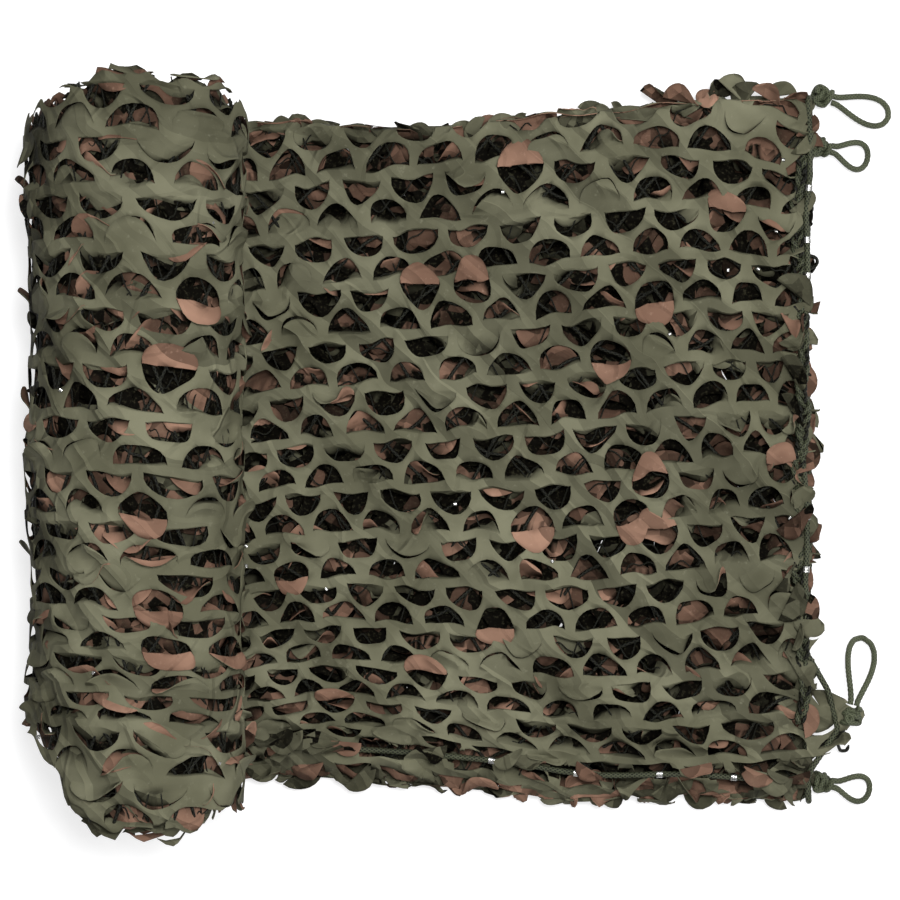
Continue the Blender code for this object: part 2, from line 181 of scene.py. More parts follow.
class Wire:
    # wraps one output socket, so that sums on it add Math nodes
    def __init__(self, tree, socket):
        self.tree, self.socket = tree, socket

    def feed(self, slot, value):
        if isinstance(value, Wire):
            self.tree.links.new(value.socket, slot)
        else:
            slot.default_value = value

    def node(self, kind, settings=None, outlet=0, **values):
        # settings first, then values or wires by socket name, or by number as i0, i1
        made = self.tree.nodes.new(kind)
        for key, value in (settings or {}).items():
            setattr(made, key, value)
        for key, value in values.items():
            self.feed(made.inputs[int(key[1:]) if key[1:].isdigit() else key], value)
        return Wire(self.tree, made.outputs[outlet])

    def math(self, operation, a, b=0.0, c=0.0):
        return self.node("ShaderNodeMath", {"operation": operation}, i0=a, i1=b, i2=c)

    def __add__(self, other):
        return self.math("ADD", self, other)

    def __sub__(self, other):
        return self.math("SUBTRACT", self, other)

    def __rsub__(self, other):
        return self.math("SUBTRACT", other, self)

    def __mul__(self, other):
        return self.math("MULTIPLY", self, other)

    def sine(self):
        return self.math("SINE", self)

    def size(self):
        return self.math("ABSOLUTE", self)

    def clamp(self):
        return self.node("ShaderNodeClamp", Value=self)

    def part(self, axis):
        return self.node("ShaderNodeSeparateXYZ", outlet=axis, Vector=self)

    def noise(self, scale, detail=2.0, roughness=0.5):
        return self.node("ShaderNodeTexNoise", Vector=self, Scale=scale, Detail=detail,
                         Roughness=roughness)

    def cells(self, scale, outlet=0):
        # scattered cells: outlet 0 is the distance to a cell's middle, outlet 1 its random colour
        return self.node("ShaderNodeTexVoronoi", outlet=outlet, Vector=self, Scale=scale)

    def blend(self, a, b):
        # colour mix with this wire as the factor: inputs 6 and 7 are the colours, output 2 the mix
        first, second = (value if isinstance(value, Wire) else (*value, 1.0) for value in (a, b))
        return self.node("ShaderNodeMix", {"data_type": "RGBA"}, outlet=2, i0=self, i6=first, i7=second)


# materials

def newMaterial(name, roughness, metallic=0.0, gloss=0.5):
    # the material, its shader, a wire to add nodes from and one that holds the Object coordinates
    made = bpy.data.materials.new(name)
    made.use_nodes = True
    shader = made.node_tree.nodes["Principled BSDF"]
    shader.inputs["Roughness"].default_value = roughness
    shader.inputs["Metallic"].default_value = metallic
    shader.inputs["Specular IOR Level"].default_value = gloss
    start = Wire(made.node_tree, None)
    return made, shader, start, start.node("ShaderNodeTexCoord", outlet=3)


def wireUp(shader, start, colour, height, strength, distance):
    # the colour, and the height as a bump
    start.tree.links.new(colour.socket, shader.inputs["Base Color"])
    bump = start.node("ShaderNodeBump", Height=height, Strength=strength, Distance=distance)
    start.tree.links.new(bump.socket, shader.inputs["Normal"])


# the sizes are how many patches, facets, shards, specks and bumps come to a metre
clothLook = dict(
    green=(0.163, 0.160, 0.105), greenDark=(0.100, 0.098, 0.062), greenWorn=(0.212, 0.207, 0.146),
    brown=(0.310, 0.182, 0.126), brownDark=(0.165, 0.094, 0.064), brownWorn=(0.390, 0.250, 0.185),
    shadeTo=(0.0022, 0.0018, 0.0010), shadeSpeck=(0.026, 0.024, 0.014), roughness=0.80, gloss=0.04,
    patches=14.0, facets=46.0, shards=62.0, specks=330.0, rubs=140.0, bumps=36.0, folds=19.0,
)


def clothMaterial(name, face):
    # coated cloth: broad patches of tone, partly painted shade; creased facets, some painted darker as
    # shade;
    # rubbed specks; painted shade on what lies deep, broken into shards
    made, shader, start, place = newMaterial(name, clothLook["roughness"], gloss=clothLook["gloss"])
    light, dark, worn = (clothLook[face + tone] for tone in ("", "Dark", "Worn"))
    # broad patches of random tone; their darker side also stands in for shade in sags and creases, so
    # it is partly painted shade
    tone = ((place.noise(clothLook["patches"], 3.0) - 0.40) * 4.0).clamp()
    colour = tone.blend(dark, light)
    bent = place + (place.noise(34.0, 0.0) - 0.5) * 0.006
    # painted shade: random cells of the creased facets are painted darker, as if turned from the light,
    # and slow noise masks them
    facetShade = ((bent.cells(clothLook["facets"], 1).part(1) - 0.38) * 1.25).clamp()
    facetShade = facetShade * (place.noise(9.0) * 1.5)
    colour = facetShade.blend(colour, [0.42 * channel for channel in dark])
    rubbed = ((place.noise(clothLook["rubs"], 4.0, 0.7) - 0.60) * 5.0).clamp() * 0.55
    colour = rubbed.blend(colour, worn)
    # painted shade: the shade attribute darkens what lies deep under the top cloth towards the shade
    # colour, broken into random shards, with lighter specks in the painted shade
    depth = start.node("ShaderNodeAttribute", {"attribute_name": "shade"}, outlet=2)
    shard = place.cells(clothLook["shards"], 1).part(0) - 0.32
    speck = ((place.noise(clothLook["specks"], 2.0, 0.7) - 0.55) * 6.0).clamp()
    deep = speck.blend(clothLook["shadeTo"], clothLook["shadeSpeck"])
    colour = (depth + shard * (depth * 1.5).clamp() * 1.3).clamp().blend(colour, deep)
    folds = 1.0 - ((place.noise(clothLook["folds"], 0.0) - 0.5) * 22.0).size().clamp()
    facet = bent.cells(clothLook["bumps"])
    height = folds * 0.28 + facet * facet * 3.4 + place.noise(50.0, 1.0) * 0.25
    wireUp(shader, start, colour, height, 0.90, 0.0055)
    return made


greenCloth = clothMaterial("garnishGreen", "green")
brownCloth = clothMaterial("garnishBrown", "brown")


def ropeMaterial(name, light, dark, strands, pitch, roughness=0.62, gloss=0.25, gain=1.3, drop=0.45):
    # a braid from the piece's own UV: u goes once round, v is metres along; the colour follows the
    # braid's height, with painted shade in the grooves and a painted highlight on the strand tops; gain
    # and drop set how much of a strand stays light
    made, shader, start, place = newMaterial(name, roughness, gloss=gloss)
    uv = start.node("ShaderNodeTexCoord", outlet=2)
    around = uv.part(0) * (strands * math.pi)
    along = uv.part(1) * (math.pi / pitch)
    height = start.math("MAXIMUM", (around + along).sine().size(), (around - along).sine().size())
    threads = ((around * 4.0 + along * 6.0).sine()) * 0.12
    # painted shade and highlight: the low parts of the braid take the dark colour, the high parts the
    # light one
    tone = (height * gain - drop + (place.noise(55.0) - 0.5) * 0.7 + threads).clamp()
    wireUp(shader, start, tone.blend(dark, light), height + threads, 0.7, 0.0009)
    return made


ropeLooks = dict(
    ropeGreen=dict(light=(0.090, 0.102, 0.058), dark=(0.010, 0.013, 0.006), strands=5, pitch=0.0034),
    # a darker copy of the green rope with coarser ridges; its darkness is painted shade, for the edge
    # rope and the stray cords
    ropeShaded=dict(light=(0.072, 0.080, 0.044), dark=(0.005, 0.006, 0.003), strands=5, pitch=0.0046,
                  gain=2.6, drop=1.75),
    # black twine; the light colour on its narrow ridge tops is a painted glint
    twineBlack=dict(light=(0.026, 0.027, 0.017), dark=(0.0012, 0.0013, 0.0008), strands=3,
                    pitch=0.0048, gain=3.6, drop=3.0, roughness=0.55, gloss=0.15),
)
ropeGreen, ropeShaded, twineBlack = (ropeMaterial(name, **look) for name, look in ropeLooks.items())

# bright sleeves with dark patches and fine scratches
metalLook = dict(light=(0.66, 0.66, 0.64), dark=(0.15, 0.15, 0.145), roughness=0.26)
clipMetal, shader, start, place = newMaterial("clipMetal", metalLook["roughness"], metallic=1.0)
tone = ((place.noise(260.0, 3.0) - 0.3) * 2.2).clamp().blend(metalLook["dark"], metalLook["light"])
scratches = (place.noise(900.0, 2.0) - 0.5) * 0.4
wireUp(shader, start, tone, scratches + place.noise(320.0), 0.25, 0.0003)
print("materials made")


# rope and twine

def softPath(points, step, soften=0.0):
    # the same route in equal steps, with its corners rounded by a moving mean
    points = np.asarray(points, dtype=float)
    length = runAlong(points)
    count = max(4, int(round(length[-1] / step)) + 1)
    path = threeColumns(np.linspace(0.0, length[-1], count), length, points)
    reach = int(round(soften / (length[-1] / (count - 1)) / 2))
    if reach > 0:
        kernel = np.hanning(2 * reach + 3)[1:-1]
        padded = np.concatenate((
            2 * path[0] - path[reach:0:-1], path, 2 * path[-1] - path[-2:-reach - 2:-1]))
        path = np.column_stack([
            np.convolve(padded[:, i], kernel / kernel.sum(), mode="valid") for i in range(3)])
    return path


def ropeTubes(name, paths, radius, tube, look, strands=4, pitch=0.0046, taper=False):
    # rings round each path: the radius swells where the strands of the braid cross over; tube
    # holds the number of sides and the share of the radius that the braid takes
    sides, relief = tube
    points, quads, caps, uvs, start = [], [], [], [], 0
    lean = np.array((0.52, -0.44, 0.73))
    turn, cos, sin = roundTurn(sides)
    for path in paths:
        heading = unit(np.gradient(path, axis=0))
        side = unit(np.cross(lean, heading))
        up = np.cross(heading, side)
        run = runAlong(path)
        a = strands * turn[None, :] / 2.0
        b = run[:, None] * math.pi / pitch
        swell = np.maximum(np.abs(np.sin(a + b)), np.abs(np.sin(a - b)))
        size = radius * (1.0 - relief + relief * swell)
        if taper:
            thin = np.minimum(run, run[-1] - run) / (2.5 * radius) + 0.35
            size = size * np.clip(thin, 0.0, 1.0)[:, None]
        ring = path[:, None, :] + size[..., None] * (cos * side[:, None, :] + sin * up[:, None, :])
        points.append(np.concatenate((ring.reshape(-1, 3), path[:1], path[-1:])))
        count = len(path)
        index = np.arange(count * sides).reshape(count, sides) + start
        after = np.roll(index, -1, axis=1)
        quads.append(np.stack((index[:-1], after[:-1], after[1:], index[1:]), axis=-1).reshape(-1, 4))
        first, last = (np.full(sides, start + count * sides + end) for end in (0, 1))
        caps.append(np.stack((after[0], index[0], first), axis=-1))
        caps.append(np.stack((index[-1], after[-1], last), axis=-1))
        ringUv = np.stack(np.broadcast_arrays(turn[None, :] / (2 * math.pi), run[:, None]), axis=-1)
        uvs.append(np.concatenate((ringUv.reshape(-1, 2), [[0.0, 0.0], [0.0, run[-1]]])))
        start += count * sides + 2
    quads, caps = np.concatenate(quads), np.concatenate(caps)
    piece = meshPiece(name, np.concatenate(points), quads.tolist() + caps.tolist(), [look])
    # the last face of each ring closes the seam, so u runs on past one there
    uv = np.concatenate(uvs)
    onQuads = uv[quads]
    around = onQuads[..., 0]
    seam = (around.max(1) - around.min(1)) > 0.5
    onQuads[..., 0] = np.where(seam[:, None] & (around < 0.5), around + 1.0, around)
    onCorners = np.concatenate((onQuads.reshape(-1, 2), uv[caps].reshape(-1, 2)))
    piece.data.uv_layers.new(name="UVMap").data.foreach_set("uv", onCorners.astype(np.float32).ravel())
    return piece


# corner loops and their knots

rope = dict(
    radius=0.0030, clear=0.0003, offset=0.0051, low=0.0048, start=-0.203, straight=0.005,
    loopTube=(14, 0.22), loopStep=0.0010, loopSoften=0.010,
    edgeTube=(12, 0.30), edgePitch=0.0052, edgeStep=0.0016, edgeSoften=0.008,
    edgeSamples=17, endSamples=(7, 7, 7, 19), drawnIn=0.011, lift=0.0044, liftWidth=0.0065,
)
knotSize = dict(
    flat=0.0106, wide=0.0038, long=0.0046, strand=0.0027, wrap=0.0074, step=0.0011, tube=(12, 0.22))
# the first number of each knot is read off the built solids
loops = dict(
    a=dict(knot=(0.36982, 0.3520, 0.0125), tip=(0.4380, 0.3320), half=0.0120, twist=0.3),
    b=dict(knot=(0.36803, 0.3020, 0.0150), tip=(0.4170, 0.2900), half=0.0118, twist=1.1),
    c=dict(knot=(0.39501, -0.2620, 0.0380), tip=(0.4120, -0.1870), half=0.0116, twist=2.0),
    d=dict(knot=(0.37002, -0.3300, 0.0125), tip=(0.4190, -0.3400), half=0.0112, twist=0.8),
)


def loopPath(root, outward, tip, half, count=17):
    # a curved spine from the root to the tip; the strands part by a teardrop on each side of it
    straight = rope["straight"]
    start = root + straight * outward
    bend = start + 0.45 * np.linalg.norm(tip - start) * outward
    angle = np.linspace(-math.pi, math.pi, 241)
    t = (0.5 + 0.5 * np.cos(angle))[:, None]
    spine = (1 - t) ** 2 * start + 2 * t * (1 - t) * bend + t**2 * tip
    heading = 2 * (1 - t) * (bend - start) + 2 * t * (tip - bend)
    sideways = unit(np.column_stack((-heading[:, 1], heading[:, 0])))
    sign = np.where(angle < 0.0, -1.0, 1.0)
    strand = (rope["radius"] + rope["clear"]) * (1.0 - t[:, 0]) ** 0.5 * sign
    part = np.sin(angle) * np.clip(np.cos(angle / 2.0), 0.0, 1.0) ** 1.5
    across = half * part / part.max() + strand
    curve = spine.copy()
    curve[:, :2] += across[:, None] * sideways
    curve = np.concatenate(([curve[0] - straight * outward], curve, [curve[-1] - straight * outward]))
    length = runAlong(curve)
    ends = np.linspace(straight, length[-1] - straight, count - 2)
    return threeColumns(np.concatenate(([0.0], ends, [length[-1]])), length, curve)


def knotPath(centre, outward, twist):
    # a closed three-lobed knot with its axis along the loop, then one slanting wrap over it
    side = np.cross((0.0, 0.0, 1.0), outward)
    up = np.cross(outward, side)
    t = np.linspace(0.0, 2.0 * math.pi, 150)
    u = knotSize["wide"] * (np.sin(t) + 1.55 * np.sin(2.0 * t + twist))
    v = knotSize["wide"] * (np.cos(t) - 1.55 * np.cos(2.0 * t + twist)) * 0.92
    w = -knotSize["long"] * np.sin(3.0 * t) * 1.25
    lobes = centre + u[:, None] * side + v[:, None] * up + w[:, None] * outward
    s = np.linspace(0.0, 4.4 * math.pi, 110)
    lean = 0.0075 * np.cos(s / 4.4 + 0.2) + 0.0016 * np.sin(s + 1.0)
    wrap = (centre + knotSize["wrap"] * np.cos(s + twist)[:, None] * side
            + 0.0070 * np.sin(s + twist)[:, None] * up + lean[:, None] * outward)
    return [lobes, wrap]


for letter, loop in loops.items():
    centre = np.array(loop["knot"])
    tip = np.array((*loop["tip"], rope["radius"] + 0.0004))
    outward = unit(np.array((tip[0] - centre[0], tip[1] - centre[1], 0.0)))
    root = centre + (knotSize["flat"] + rope["clear"]) * outward
    path = softPath(loopPath(root, outward, tip, loop["half"]), rope["loopStep"], rope["loopSoften"])
    cord = ropeTubes(f"cornerLoop_{letter}", [path], rope["radius"], rope["loopTube"], ropeGreen)
    knots = [softPath(route, knotSize["step"]) for route in knotPath(centre, outward, loop["twist"])]
    tied = ropeTubes(f"cornerKnot_{letter}", knots, knotSize["strand"], knotSize["tube"], ropeGreen)
    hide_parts(f"loop_{letter}")
    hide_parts(f"knot_{letter}")


# where the folded strip lies

def outline(x):
    # back and front edge of the strip at x: a table of places and a slow wave
    table = np.array(strip["outline"])
    back = np.interp(x, table[:, 0], table[:, 1]) + 0.0022 * np.sin(31.0 * x + 0.6)
    front = np.interp(x, table[:, 0], table[:, 2]) + 0.0025 * np.sin(26.0 * x + 2.0)
    return back, front


def stripPitch(x):
    # the distance between two layers: less where the strip is tucked under the roll
    free = smoothstep(strip["tuckFrom"], strip["tuckTo"], x)
    return strip["tuckPitch"] + (strip["pitch"] - strip["tuckPitch"]) * free


def stripLump(x, y):
    # low lumps over the strip, and bell-shaped gathers that sway along its front edge
    lumps = np.sin(19.0 * x + 6.0 * y) * np.sin(15.0 * y - 7.0 * x + 0.8)
    fromFront = y - outline(x)[1]
    gathers = sum(
        weight * np.exp(-(((fromFront - place - 0.010 * np.sin(14.0 * x + phase)) / 0.017) ** 2))
        for place, weight, phase in strip["gathers"])
    free = smoothstep(strip["tuckTo"], strip["tuckTo"] + 0.08, x)
    return free * (strip["lump"] * lumps + strip["ridge"] * gathers)


def stripHeight(x, y, level):
    # level zero is the layer on the floor, level three the top one, which takes all of the lumps
    return strip["sheet"] / 2 + level * stripPitch(x) + level / 3.0 * stripLump(x, y)


def endShift(y, level):
    # how far the free end stands out at y and how far it sinks: a bell at the pulled corner
    pull = np.exp(-(((y - strip["cornerY"]) / strip["cornerWidth"]) ** 2) - ((level - 3.0) / 0.45) ** 2)
    reach = 0.0030 * np.sin(17.0 * y + 1.3 * level) * (1.0 - pull) + strip["cornerPull"] * pull
    return reach, strip["cornerDroop"] * strip["cornerPull"] * pull


def foldedPath(x, counts):
    # centre line of the folded cloth from the top layer's free edge to the bottom one's
    back, front = outline(x)
    half = stripPitch(x) / 2
    turn = np.linspace(-90.0, 90.0, 9)[1:-1] * math.pi / 180.0
    starts = (front + strip["lowInset"], front + half, front + half + 0.002, front + strip["topInset"])
    ends = (back - half, back - half, back - half - 0.004, back - half - 0.004)
    places, levels = [], []
    for k in range(4):
        row = np.linspace(starts[k], ends[k], counts[k])
        row = row[::-1] if k % 2 else row
        places.append(row)
        levels.append(np.full(counts[k], float(k)))
        if k < 3:
            side = 1.0 if k % 2 == 0 else -1.0
            places.append(row[-1] + side * half * np.cos(turn))
            levels.append(k + 0.5 + 0.5 * np.sin(turn))
    return np.concatenate(places)[::-1], np.concatenate(levels)[::-1]


class FoldMap:
    # the folded centre line in tables by x and by a sample number along the fold: y, z, both
    # parts of the direction out of the cloth, and the level
    def __init__(self, count=70, slices=64):
        self.count = count
        self.xs = np.linspace(strip["start"], strip["end"] + 0.06, slices)
        rows = []
        for x in self.xs:
            y, level = foldedPath(x, (count,) * 4)
            rows.append((y, stripHeight(x, y, level), level))
        y, z, level = np.array(rows).transpose(1, 0, 2)
        dy, dz = np.gradient(y, axis=1), np.gradient(z, axis=1)
        size = np.hypot(dy, dz)
        self.tables = np.array((y, z, -dz / size, dy / size, level))
        self.foldStep = math.pi * strip["pitch"] / 2 / 8

    def look(self, fx, fv):
        # all tables at once, straight between their four nearest entries
        i = np.clip(np.floor(fx).astype(int), 0, self.tables.shape[1] - 2)
        j = np.clip(np.floor(fv).astype(int), 0, self.tables.shape[2] - 2)
        a, b = fx - i, fv - j
        low = self.tables[:, i, j] * (1 - b) + self.tables[:, i, j + 1] * b
        high = self.tables[:, i + 1, j] * (1 - b) + self.tables[:, i + 1, j + 1] * b
        return low * (1 - a) + high * a

    def place(self, layer, x, y, lift):
        # layer 0 is the top one; beyond its straight part the cloth goes on round the fold
        fx = (x - self.xs[0]) / (self.xs[1] - self.xs[0])
        first = layer * (self.count + 7)
        a, b, sign = first, first + self.count - 1, 1.0
        if layer % 2:
            a, b, sign = b, a, -1.0
        zero = np.zeros_like(fx)
        front, back = (self.look(fx, zero + at)[0] for at in (a, b))
        within = (b - a) * np.clip((y - front) / (back - front), 0.0, 1.0)
        past = np.clip(y - back, 0.0, None) - np.clip(front - y, 0.0, None)
        fv = a + within + sign * past / self.foldStep
        # the free edges of the top and the bottom layer hang over instead
        over = np.clip(front - y, 0.0, None) if layer in (0, 3) else zero
        fv = np.clip(np.where(over > 0, a, fv), 0.0, self.tables.shape[2] - 1.001)
        py, pz, ny, nz, level = self.look(fx, fv)
        py = py - over * 0.95
        pz = pz - 9.0 * over**2 - 0.10 * over
        reach, sink = endShift(py, level)
        near = smoothstep(strip["end"] - 0.09, strip["end"], x)
        height = np.maximum(pz + lift * (nz * sign) - near * sink, strip["floorGap"])
        return np.stack((x + near * reach, py + lift * (ny * sign), height), axis=-1)


# leaf-cut cloth

leaf = dict(
    pitchX=0.057, pitchY=0.052, radius=0.0225, strip=0.009, thickness=0.0007, merge=0.00002,
    sharp=32.0, rise=0.0125, steps=8, hinge=0.0008, creaseFrom=0.004, slack=0.35, notch=0.013,
    closeShares=(0.12, 0.22, 0.36, 0.26, 0.04),
    fine=(0.0060, 0.0074, 0.0105, 0.01425, 0.0180, 0.0211, 0.0225),
    coarse=(0.0060, 0.01425, 0.0225),
    fineRows=(0.0, 0.09, 0.38, 0.70, 1.0), coarseRows=(0.0, 0.35, 1.0),
)


wide = np.s_[:, :, None, None]      # spreads one value for each leaf over its columns and stations
turnedOver = 4      # the last of the five kinds of leaf


def leafTemplate(stops):
    # columns of one leaf, and of one repeat of the web with its lower and upper bounds
    half, radius, gap = leaf["pitchX"] / 2, leaf["radius"], leaf["strip"] / 2
    stops = np.array(stops)
    column = np.concatenate((-stops[::-1], [0.0], stops))
    right = np.concatenate(([0.0], stops, [half], leaf["pitchX"] - stops[::-1], [leaf["pitchX"]]))
    nearest = np.minimum(right, leaf["pitchX"] - right)
    low = gap + np.sqrt(np.clip(radius**2 - nearest**2, 0.0, None))
    high = leaf["pitchY"] - gap - np.sqrt(np.clip(radius**2 - (right - half) ** 2, 0.0, None))
    return column, right, low, high


def leafStates(rng, shape, mix, turned=(), close=None):
    # how each leaf lies: shares of nearly shut, part open, hanging, raised and turned-over leaves
    kind = rng.choice(5, shape, p=mix["shares"])
    if close is not None:
        kind = np.where(close, rng.choice(5, shape, p=leaf["closeShares"]), kind)
    for row, col in turned:
        if 0 <= row < shape[0] and 0 <= col < shape[1]:
            kind[row, col] = turnedOver
    low = np.radians(np.array(mix["low"]))[kind]
    high = np.radians(np.array(mix["high"]))[kind]
    calm = np.where(kind == turnedOver, 0.25, 1.0)

    def spread(size):
        return rng.normal(0.0, size, shape)
    return dict(
        kind=kind, angle=low + (high - low) * rng.random(shape),
        curl=spread(mix["curl"]) * calm, twist=np.radians(spread(mix["twist"])) * calm,
        bow=np.radians(spread(mix["twist"] * 0.8)) * calm, lean=spread(0.12),
        limit=mix["depth"] * (0.7 + 0.5 * rng.random(shape)),
        crease=np.radians(spread(mix["crease"])) * calm, creaseTurn=rng.uniform(0.0, math.pi, shape),
        creaseAt=rng.uniform(-0.2, 0.5, shape),
    )


def bentLeaf(column, side, state, stations):
    # half discs on a hinge: the slope along a leaf is its first angle, reached within a few
    # millimetres, plus its curl times the distance; the place is the sum of small steps
    reach = np.sqrt(np.clip(leaf["radius"] ** 2 - column**2, 0.0, None))
    d = reach[None, None, :, None] * np.array(stations)[None, None, None, :]
    ratio = (column / leaf["radius"])[None, None, :, None]
    first = state["angle"][wide] + state["twist"][wide] * ratio + state["bow"][wide] * ratio**2
    turn, creaseAt = state["creaseTurn"][wide], state["creaseAt"][wide]
    out, lift = 0.0, 0.0
    for k in range(leaf["steps"]):
        at = d * (k + 0.5) / leaf["steps"]
        past = ratio * np.cos(turn) + at / leaf["radius"] * np.sin(turn) - creaseAt
        folded = np.clip(past, 0.0, None)
        slope = (first * (1 - np.exp(-at / leaf["hinge"])) + state["curl"][wide] * at
                 + state["crease"][wide] * folded * np.clip(at / leaf["creaseFrom"], 0.0, 1.0))
        out = out + np.cos(slope) * d / leaf["steps"]
        lift = lift + np.sin(slope) * d / leaf["steps"]
    limit, rise = state["limit"][wide], leaf["rise"]
    lift = np.where(lift < 0, -limit * np.tanh(-lift / limit), rise * np.tanh(lift / rise))
    across = column[None, None, :, None] + state["lean"][wide] * out + 0.0 * lift
    return across, side * (leaf["strip"] / 2 + out), lift


def pulled(p, q, seed):
    # the netting pulls the cloth a little out of its pattern from one leaf to the next
    pullP = (0.030, 5.1, 2.3, seed), (0.026, -3.7, 6.9, 2.0 * seed), (0.014, 11.0, 4.0, seed)
    pullQ = (0.034, 5.9, -2.9, seed + 1.0), (0.026, 3.3, 5.3, seed), (0.018, 9.7, 3.0, 3.0 * seed)
    return p + waves(p, q, pullP), q + waves(p, q, pullQ)


def fourCorners(grid):
    # the values of a grid at the four corners of each of its faces
    return grid[..., :-1, :-1], grid[..., 1:, 1:], grid[..., 1:, :-1], grid[..., :-1, 1:]


def gridFaces(cells, columns, rows):
    # quads of many separate grids of columns by rows points
    index = np.arange(columns * rows).reshape(columns, rows)
    quad = np.stack((index[:-1, :-1], index[1:, :-1], index[1:, 1:], index[:-1, 1:]), axis=-1)
    return quad[None] + (np.arange(cells) * columns * rows)[:, None, None, None]


def finishCloth(piece):
    # merges what meets, keeps the creases sharp and gives the cloth its thickness
    def merge(shape):
        bmesh.ops.remove_doubles(shape, verts=shape.verts[:], dist=leaf["merge"])
        bmesh.ops.dissolve_degenerate(shape, edges=shape.edges[:], dist=leaf["merge"])
    reworked(piece, merge)
    piece.data.shade_smooth()
    piece.data.set_sharp_from_angle(angle=math.radians(leaf["sharp"]))
    wall = piece.modifiers.new("thickness", "SOLIDIFY")
    wall.thickness = leaf["thickness"]
    wall.offset = 0.0
    wall.material_offset = 1
    wall.material_offset_rim = 0
    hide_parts("garnish")


def leafCloth(name, flat, seed, rows, cols, mix, pattern, place, trim, shadeAt, looks,
              detail="fine", turned=(), ruffle=None, keep=None, near=None):
    # rows and cols are ranges of pattern cells; pattern puts a pattern place on the cloth, place
    # puts a cloth place and a height into space, trim draws a place back to the cloth's edge,
    # keep says which faces inside the edge aren't cut away, near which leaves lie close to an edge
    rng = np.random.default_rng(seed)
    column, web, low, high = leafTemplate(leaf[detail])
    row, col = np.meshgrid(np.arange(*rows), np.arange(*cols), indexing="ij")
    shape, cells = row.shape, row.size

    def states(side, shift):
        chosen = [(r - rows[0], c - cols[0]) for r, c, s in turned if s == side]
        close = None if near is None else near(*pattern(col + shift, row * 1.0), side)
        return leafStates(rng, shape, mix, chosen, close)
    caps, cups = states(1, 0.0), states(-1, 0.5)
    webRows = len(leaf[detail]) // 3 + 2
    upper = low[:, None] + (high - low)[:, None] * (np.arange(webRows) / (webRows - 1.0))
    zero = np.zeros(shape + (1, 1))
    # two parts of the web without a state, then the caps and the half-way shifted cups
    blocks = (
        (web[:, None] + zero, np.array((-0.5, 0.5)) * leaf["strip"] + zero, zero, None, 0.0),
        (web[:, None] + zero, upper + zero, zero, None, 0.0),
        (*bentLeaf(column, 1.0, caps, leaf[detail + "Rows"]), caps["kind"], 0.0),
        (*bentLeaf(column, -1.0, cups, leaf[detail + "Rows"]), cups["kind"], 0.5),
    )
    # a turned-over leaf needs its root free, so the web is notched there
    middle = np.flatnonzero(np.abs(web[:-1] + web[1:] - leaf["pitchX"]) < leaf["notch"])
    notched = np.zeros(shape + (len(web) - 1, 1), dtype=bool)
    notched[:, :, 0, 0] = caps["kind"] == turnedOver
    notched[:, :, -1, 0] = np.roll(caps["kind"] == turnedOver, -1, axis=1)
    notched[:, :, middle, 0] |= (cups["kind"] == turnedOver)[:, :, None]
    points, faces, shades, start = [], [], [], 0
    for number, (across, along, lift, kind, shift) in enumerate(blocks):
        isWeb = kind is None
        p = col[wide] * 1.0 + shift + across / leaf["pitchX"]
        q = row[wide] * 1.0 + along / leaf["pitchY"]
        p, q, lift = np.broadcast_arrays(p, q, lift)
        wantX, wantV = pattern(*pulled(p, q, seed))
        x, v = trim(wantX, wantV, 0.0 if isWeb else leaf["radius"] * leaf["slack"])
        within = np.abs(x - wantX) + np.abs(v - wantV) < 1e-9
        good = np.logical_or.reduce(fourCorners(within))
        grid = place(x, v, lift if ruffle is None else lift + ruffle(x, v))
        columns, deep = p.shape[2:]
        quads = gridFaces(cells, columns, deep)
        if shift > 0.0:
            quads = quads[..., ::-1]        # a cup runs the other way, so its faces turn over
        if isWeb:
            centre = [sum(fourCorners(value)) / 4 for value in (x, v)]
            if number == 0:
                good = good & ~notched
            lit = 1.0
        else:
            hinge = np.s_[:, :, columns // 2:columns // 2 + 1, :1]
            good = good & within[hinge]
            centre = [value[hinge] for value in (x, v)]
            lit = 1.0 - mix["lit"] * rng.random(shape)[wide]
            cut = np.zeros((columns - 1, deep - 1), dtype=bool)
            cut[columns // 2 - 1:columns // 2 + 1, 0] = True
            good = good & ~(cut & (kind == turnedOver)[wide])
        if keep is not None:
            good = good & keep(*centre)
        faces.append(quads[good.reshape(cells, columns - 1, deep - 1)] + start)
        points.append(grid.reshape(-1, 3))
        shades.append((lit * shadeAt(x, v, grid)).reshape(-1))
        start += p.size
    used, faces = np.unique(np.concatenate(faces), return_inverse=True)
    shade = np.clip(np.concatenate(shades), 0.0, 1.0)[used]
    piece = meshPiece(name, np.concatenate(points)[used], faces.reshape(-1, 4).tolist(), looks,
                      shade)
    finishCloth(piece)
    print(name, len(piece.data.polygons), "faces")


# flat strip: four layers

foldMap = FoldMap()
